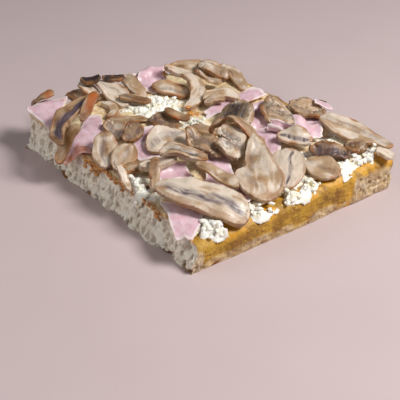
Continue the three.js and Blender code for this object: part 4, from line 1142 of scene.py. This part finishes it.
def gills(look, a, b, seed):
    """The zone of the gills, a band along the slice that fades at its ends, and their lines: noise
    that is drawn out along the slice or across it."""
    s = np.linspace(-1, 1, a.shape[0])[:, None]
    t = np.linspace(-1, 1, a.shape[1])[None, :]
    zone = np.abs(t - look["gill_at"] + 0.2 * noise(a / 7, 0 * b, seed + 80)) / look["gill_wide"]
    zone = smooth(1.5 * (1 - zone)) * smooth((1 - np.abs(s)) / 0.35)
    if look["along"]:
        return zone, noise(a / 5, b / 0.8 + 0.9 * noise(a / 5, b / 5, seed), seed + 81)
    return zone, noise(a / 0.8 + 0.9 * noise(a / 4, b / 4, seed), b / 5, seed + 81)


def ragged(grid, a, b, seed, reach):
    """Moves the rim of a slice in and out along its surface: noise times the fifth power of the
    distance from the middle, lengthwise at its ends and sideways at its sides."""
    along, across = np.gradient(grid, axis=0), np.gradient(grid, axis=1)
    along = along / np.linalg.norm(along, axis=-1, keepdims=True)
    across = across / np.linalg.norm(across, axis=-1, keepdims=True)
    s = np.linspace(-1, 1, grid.shape[0])[:, None]
    t = np.linspace(-1, 1, grid.shape[1])[None, :]
    ends = noise(b / 2.2, 7 * np.sign(s), seed + 90)
    sides = noise(a / 3.4, 7 * np.sign(t), seed + 91) + 0.5 * noise(a / 1.6, 3 * np.sign(t), seed + 92)
    return grid + reach * (along * (s ** 5 * ends)[..., None] + across * (t ** 5 * sides)[..., None])


def dried(look, grid, a, b, rim, seed):
    """The surface that shrank in the oven: creases along the slice and small bumps, both half as high
    at the rim, and furrows where a noise crosses 0. Gives the surface, creases and furrows."""
    creases = noise(b / 1.5 + 1.3 * noise(a / 6, b / 6, seed + 88), a / 9, seed + 89)
    bumps = noise(a / 2.1, b / 2.1, seed + 82)
    furrows = noise(a / 4.5 + 1.2 * noise(b / 4, a / 4, seed + 96), b / 3.6, seed + 97)
    furrows = smooth(1 - np.abs(furrows) / 0.22)
    wrinkles = look["wrinkle"] * (creases + 0.4 * bumps) * (1 - 0.5 * smooth((rim - 0.8) / 0.15))
    grid = ragged(grid, a, b, seed, RIM_RAGGED + look["wrinkle"])
    return grid + normals(grid) * (wrinkles - look["crinkle"] * furrows)[..., None], creases, furrows


def mushroom_masks(look, a, b, rim, creases, furrows, seed):
    """How brown the flesh is, and how far the band of skin, toast and dark cover it: noise in each one's
    own size, within steps of the distance to the rim. The dark is partly dark spots and partly painted
    shade, darker in the valleys between creases and along the furrows. Also gives the side with the skin."""
    tone = look["tone"] + 0.35 * noise(a / 6, b / 6, seed + 83) + 0.25 * creases
    tone = tone + 0.5 * smooth((rim - 0.85) / 0.13) * smooth(0.1 + 1.4 * noise(a / 6, b / 6, seed + 94))
    t = np.linspace(-1, 1, a.shape[1])[None, :]
    skin_side = smooth((look["skin"] * t + 0.1) / 0.3) + 0 * rim
    band = smooth((rim - 1 + look["band"] + 0.08 * noise(a / 5, b / 5, seed + 95)) / 0.1)
    band = 0.8 * band * skin_side * smooth(0.9 + noise(a / 7, b / 7, seed + 98))
    toast = smooth(noise(a / 5, b / 5, seed + 85) + 0.3) * smooth((rim - look["toast_from"]) / 0.35)
    # Dark spots, darker in the valleys between creases, and dark along the furrows: partly painted shade.
    dark = smooth(0.4 + 1.4 * noise(a / 4, b / 4, seed + 86)) * (0.4 + 0.6 * smooth(0.5 - creases))
    dark = look["dark"] * dark + 0.55 * look["crinkle"] * furrows
    return {"tone": tone, "skin": band, "toast": look["toast"] * toast, "dark": dark}, skin_side


mushroom = mushroom_material()
for piece, grid, a, b in settled:
    if piece["kind"] == "leaf":
        continue
    seed = piece["seed"]
    look = {**LOOK, **LOOKS[piece["name"].removeprefix("mushroom_")]}
    rim = rim_share(grid)
    zone, lines = gills(look, a, b, seed)
    grid, creases, furrows = dried(look, grid, a, b, rim, seed)
    half = 0.5 * piece["thick"] * (1 - 0.2 * rim ** 4) - 0.15
    half = half - GILL_DEPTH * zone * look["gill"] * (0.5 + 0.5 * lines)
    half = half + LIP * smooth((rim - 0.8) / 0.15) * (1 + 0.5 * noise(a / 3, b / 3, seed + 93))
    points, faces, loop = slice_body(grid, np.maximum(half, LEAST_HALF), MUSHROOM_EDGE_BULGE)
    flat, skin_side = mushroom_masks(look, a, b, rim, creases, furrows, seed)
    masks = {mask: over_slice(values, loop) for mask, values in flat.items()}
    streaks = clamp(0.4 + 0.9 * lines + 0.35 * noise(a / 3, b / 3, seed + 87))
    masks["gill"] = over_slice(look["gill"] * zone * mix(0.4, 1, streaks), loop, edge=0 * rim)
    masks["skin"] = over_slice(flat["skin"], loop, edge=0.2 + 0.7 * skin_side)
    # Painted shade over the hollow middle of a curled slice's upper face.
    masks["dark"][:rim.size] += (look["inside"] * smooth((0.8 - rim) / 0.5)).ravel()
    add_piece(piece["name"] + "_slice", points, faces, masks, mushroom, "mushroom", *piece["nodes"])

# The crumbs: cheese that stayed in crumbles round the shreds, and bits of cheese, sauce and dough
# that toasted orange to dark brown, most of them along the front cut and on top of slices.
CRUMBS_PER_SHRED = 5
CRUMB_SPREAD = 3.0
PILE = 2.2
LOOSE = [
    dict(at=(-60, -3), size=(38, 14), turn=55, count=30),
    dict(at=(20, -71), size=(20, 8), turn=-10, count=20),
]
FLUFF_FIELD = ((-91, 90), (-81, 80))
FLUFF_STEP = 0.6
FLUFF_HIGH = 2.4
FLUFF_SUNK = 1.1
FLUFF_FOOT = 1.6
PATCH_MARGIN = 4
OPEN_HEIGHT = 0.4
CRUMB_FIELD = ((-88, -80), (87, 78))
CRUMB_LEAST = (2.2, 1.7, 1.4)
CRUMB_MOST = (4.4, 3.0, 2.4)
TOASTED_LEAST = (0.9, 0.7, 0.35)
TOASTED_MOST = (1.6, 1.2, 0.6)
TOASTED = [
    dict(at=(-62, -76), size=(5, 2), count=5, dark=0.0),
    dict(at=(20, -75), size=(34, 3), count=24, dark=0.1),
    dict(at=(-78, 25), size=(7, 5), count=12, dark=0.0),
    dict(at=(-29, 11), size=(14, 5), count=20, dark=0.1),
    dict(at=(-84, 66), size=(6, 4), count=8, dark=0.0),
    dict(at=(28, -70), size=(5, 3), count=7, dark=0.9),
    dict(at=(-44, -4), size=(8, 8), count=14, dark=0.4),
]
CRUST_LEAST = (0.9, 0.6, 0.5)
CRUST_MOST = (1.6, 0.9, 1.0)
EDGE_CRUST = [
    dict(start=-24, end=0, reach=7, count=110, dark=0.0),
    dict(start=0, end=22, reach=5, count=70, dark=0.1),
    dict(start=22, end=46, reach=3, count=36, dark=0.0),
    dict(start=47, end=55, reach=4, count=18, dark=0.2),
]


TOASTED_COLOURS = {"orange": colour(232, 172, 92), "brown": colour(184, 112, 56), "dark": colour(66, 40, 36)}
rng = np.random.default_rng(5)


def toasted_material():
    """Orange to brown in fine spots, and nearly black where it burnt, under a thin oily coat."""
    shader = Shader("crumb", Subsurface_Weight=0.1, Subsurface_Scale=0.001,
                    Coat_Weight=0.3, Coat_Roughness=0.25)
    fine = shader.speckle(1.5, 3)
    base = shader.blend(TOASTED_COLOURS["orange"], TOASTED_COLOURS["brown"], shader.step(fine, 0.35, 0.65))
    base = shader.blend(base, TOASTED_COLOURS["dark"], shader.mask("dark"))
    return shader.finish(base, 0.4 + 0.2 * fine, fine, 0.25)


def scatter(places, sizes, surface, sink, seed):
    """Lumps of the given sizes on a height map: each lies on its cell, less a share of its height."""
    cells = np.floor(places + MAP_REACH).astype(int)
    height = surface[cells[:, 0], cells[:, 1]] + (0.5 - sink) * sizes[:, 2]
    return lumps(np.column_stack([places, height]), sizes, rng.uniform(0, math.pi, len(places)), seed, 0.6)


def random_sizes(count, scale, least, most):
    """Lengths, widths and heights from least to most, each lump's times its own share of scale."""
    return rng.uniform(*scale, (count, 1)) * rng.uniform(least, most, (count, 3))


def in_patches(x, y, rows):
    """1 in the middle of the patches and 0 outside them: one less the squares of the distances along
    and across each over its own reach, with noise to make their edges uneven."""
    most = np.full(x.shape, -9.0)
    for row in rows:
        c, s = math.cos(math.radians(row["turn"])), math.sin(math.radians(row["turn"]))
        dx, dy = x - row["at"][0], y - row["at"][1]
        along = (dx * c + dy * s) / (0.5 * row["size"][0] + PATCH_MARGIN)
        across = (dy * c - dx * s) / (0.5 * row["size"][1] + PATCH_MARGIN)
        most = np.maximum(most, 1 - along ** 2 - across ** 2)
    return smooth(1.6 * most + 0.7 * noise(x / 4.5, y / 4.5, 74))


def cheese_fluff(open_sky):
    """Billows of crumbled cheese over the patches that lie under the open sky: the sheet's height
    plus noise folded at 0. They stand on a buried copy of themselves, so that they are closed."""
    x, y = np.meshgrid(*[np.arange(*ends, FLUFF_STEP) for ends in FLUFF_FIELD], indexing="ij")
    flat = np.dstack([x, y])
    under = sheet_at(ground, (0, 0), flat)
    uncovered = smooth((sheet_at(open_sky, (0, 0), flat) - 0.55) / 0.4)
    patch = in_patches(x, y, SHREDS + LOOSE) * uncovered * smooth((under - bread_top(x, y) + 3) / 3)
    billows = 0.5 + 1.1 * np.abs(noise(x / 2.1, y / 2.1, 75)) + 0.7 * np.abs(noise(x / 1.2, y / 1.2, 76))
    top = np.dstack([x, y, under + FLUFF_HIGH * patch * billows - FLUFF_SUNK]).reshape(-1, 3)
    foot = np.dstack([x, y, under - FLUFF_FOOT]).reshape(-1, 3)
    quads = grid_quads(*x.shape)[:, ::-1]
    quads = quads[(patch.ravel()[quads] > 0.02).any(axis=1)]
    held, numbers = np.unique(quads, return_inverse=True)
    quads = numbers.reshape(quads.shape)
    start, end = np.concatenate([quads[:, [k, (k + 1) % 4]] for k in range(4)]).T
    at_border = ~np.isin(start * len(held) + end, end * len(held) + start)
    start, end = start[at_border], end[at_border]
    walls = np.stack([end, start, start + len(held), end + len(held)], 1)
    return np.vstack([top[held], foot[held]]), np.concatenate([quads, quads[:, ::-1] + len(held), walls])


open_sky = (heights - ground < OPEN_HEIGHT).astype(float)
for _ in range(2):
    open_sky = averaged(open_sky)
fluff, fluff_quads = cheese_fluff(open_sky)

near = np.repeat(shreds, CRUMBS_PER_SHRED, axis=0)
groups = [near[:, :2] + rng.normal(0, CRUMB_SPREAD, (len(near), 2))]
for row in LOOSE:
    along, across = (rng.uniform(-0.5, 0.5, (row["count"], 2)) * row["size"]).T
    c, s = math.cos(math.radians(row["turn"])), math.sin(math.radians(row["turn"]))
    groups.append(np.column_stack([along * c - across * s, along * s + across * c]) + row["at"])
places = np.clip(np.concatenate(groups), *CRUMB_FIELD)
cells = np.floor(places + MAP_REACH).astype(int)
places = places[open_sky[cells[:, 0], cells[:, 1]] > 0.5]
sizes = random_sizes(len(places), (0.6, 1.2), CRUMB_LEAST, CRUMB_MOST)
piled = 0.5 * PILE * rng.uniform(0, 1, len(places)) / sizes[:, 2]
points, faces = scatter(places, sizes, ground, 0.1 - piled, 67)
number = len(points) + len(fluff)
add_piece("cheese_crumbs", np.vstack([points, fluff]), [*faces, fluff_quads + len(points)],
          {"white": np.ones(number), "toast": np.zeros(number)}, cheese, "cheese")

# The toasted bits lie on top of what is there, and a crust of them hangs over the front cut.
around = ((0, 0), (1, 0), (-1, 0), (0, 1), (0, -1))
lowest_near = np.min([np.roll(heights, shift, (0, 1)) for shift in around], axis=0)
groups = [row["at"] + rng.uniform(-0.5, 0.5, (row["count"], 2)) * row["size"] for row in TOASTED]
places = np.concatenate(groups)
sizes = random_sizes(len(places), (1.4, 3.6), TOASTED_LEAST, TOASTED_MOST)
points, faces = scatter(places, sizes, lowest_near, 0.35, 68)
groups = [rng.uniform((row["start"], 0), (row["end"], row["reach"]), (row["count"], 2)) for row in EDGE_CRUST]
along, down = np.concatenate(groups).T
down = down * rng.uniform(0, 1, len(down)) * smooth(0.6 + noise(along / 4, 0.5, 77))
front = -0.5 * SLAB_Y
height = bread_top(along, front + 5) + 1 - down
on_face = np.column_stack([along, front + cut_inset(along, front, height), height])
crust_sizes = random_sizes(len(along), (1.2, 3.0), CRUST_LEAST, CRUST_MOST)
crust, crust_faces = lumps(on_face, crust_sizes, rng.uniform(-0.3, 0.3, len(along)), 69, 0.6)
crust_faces = [group + len(points) for group in crust_faces]
dark = np.concatenate([np.full(row["count"], row["dark"]) for row in TOASTED + EDGE_CRUST])
dark = clamp(dark + rng.uniform(-0.3, 0.3, len(dark)))
points_each = (len(points) + len(crust)) // len(dark)
add_piece("toasted_crumbs", np.vstack([points, crust]), faces + crust_faces,
          {"dark": np.repeat(dark, points_each)}, toasted_material(), "cheese")

# The studio: a plain pale floor, one broad soft light from the back right, a wide fill from the
# front left and a pale sky, seen by a long lens from a third of the way up.
FLOOR_SIZE = 3.0
FLOOR_COLOURS = {"pale": colour(200, 182, 180), "shade": colour(194, 175, 174)}
LIGHTS = [
    dict(name="key", at=(0.6, 0.35, 0.85), size=0.38, power=13.0),
    dict(name="fill", at=(-0.3, -0.9, 0.6), size=0.8, power=3.2),
]
SKY_COLOUR = (0.95, 0.97, 1.0, 1)
SKY_STRENGTH = 0.13
CAMERA_AT = (476.19, -396.76, 368.2)
CAMERA_LOOK = (-0.7729, 0.6345)
CAMERA_DOWN = 32.47
CAMERA_ROLL = 2.09
CAMERA_LENS = 99


def placed(name, data):
    """A new object of that name in the scene, at the origin."""
    made = bpy.data.objects.new(name, data)
    bpy.context.scene.collection.objects.link(made)
    return made


floor_mesh = bpy.data.meshes.new("floor")
corners = [(x * FLOOR_SIZE / 2, y * FLOOR_SIZE / 2, 0) for x, y in ((-1, -1), (1, -1), (1, 1), (-1, 1))]
floor_mesh.from_pydata(corners, [], [(0, 1, 2, 3)])
floor_shader = Shader("floor")
floor_base = floor_shader.blend(FLOOR_COLOURS["pale"], FLOOR_COLOURS["shade"], floor_shader.speckle(60))
floor_mesh.materials.append(floor_shader.finish(floor_base, 0.75, floor_shader.speckle(5), 0.02))
floor = placed("floor", floor_mesh)

for row in LIGHTS:
    lamp = bpy.data.lights.new(row["name"], "AREA")
    lamp.shape = "DISK"
    lamp.size = row["size"]
    lamp.energy = row["power"]
    light = placed(row["name"], lamp)
    light.location = row["at"]
    x, y, z = row["at"]
    light.rotation_euler = (math.atan2(math.hypot(x, y), z), 0, math.atan2(x, -y))

world = bpy.data.worlds.new("sky")
world.use_nodes = True
world.node_tree.nodes["Background"].inputs["Color"].default_value = SKY_COLOUR
world.node_tree.nodes["Background"].inputs["Strength"].default_value = SKY_STRENGTH
bpy.context.scene.world = world
bpy.context.scene.view_settings.view_transform = "Standard"

camera_data = bpy.data.cameras.new("camera")
camera_data.lens = CAMERA_LENS
camera = placed("camera", camera_data)
camera.location = 0.001 * (np.array(CAMERA_AT) + [*SLAB_MIDDLE, 0])
camera.rotation_euler = (math.radians(90 - CAMERA_DOWN), 0, math.atan2(-CAMERA_LOOK[0], CAMERA_LOOK[1]))
bpy.context.view_layer.update()
rolled = camera.matrix_world.Rotation(math.radians(CAMERA_ROLL), 4, "Z")
camera.matrix_world = camera.matrix_world @ rolled
bpy.context.scene.camera = camera
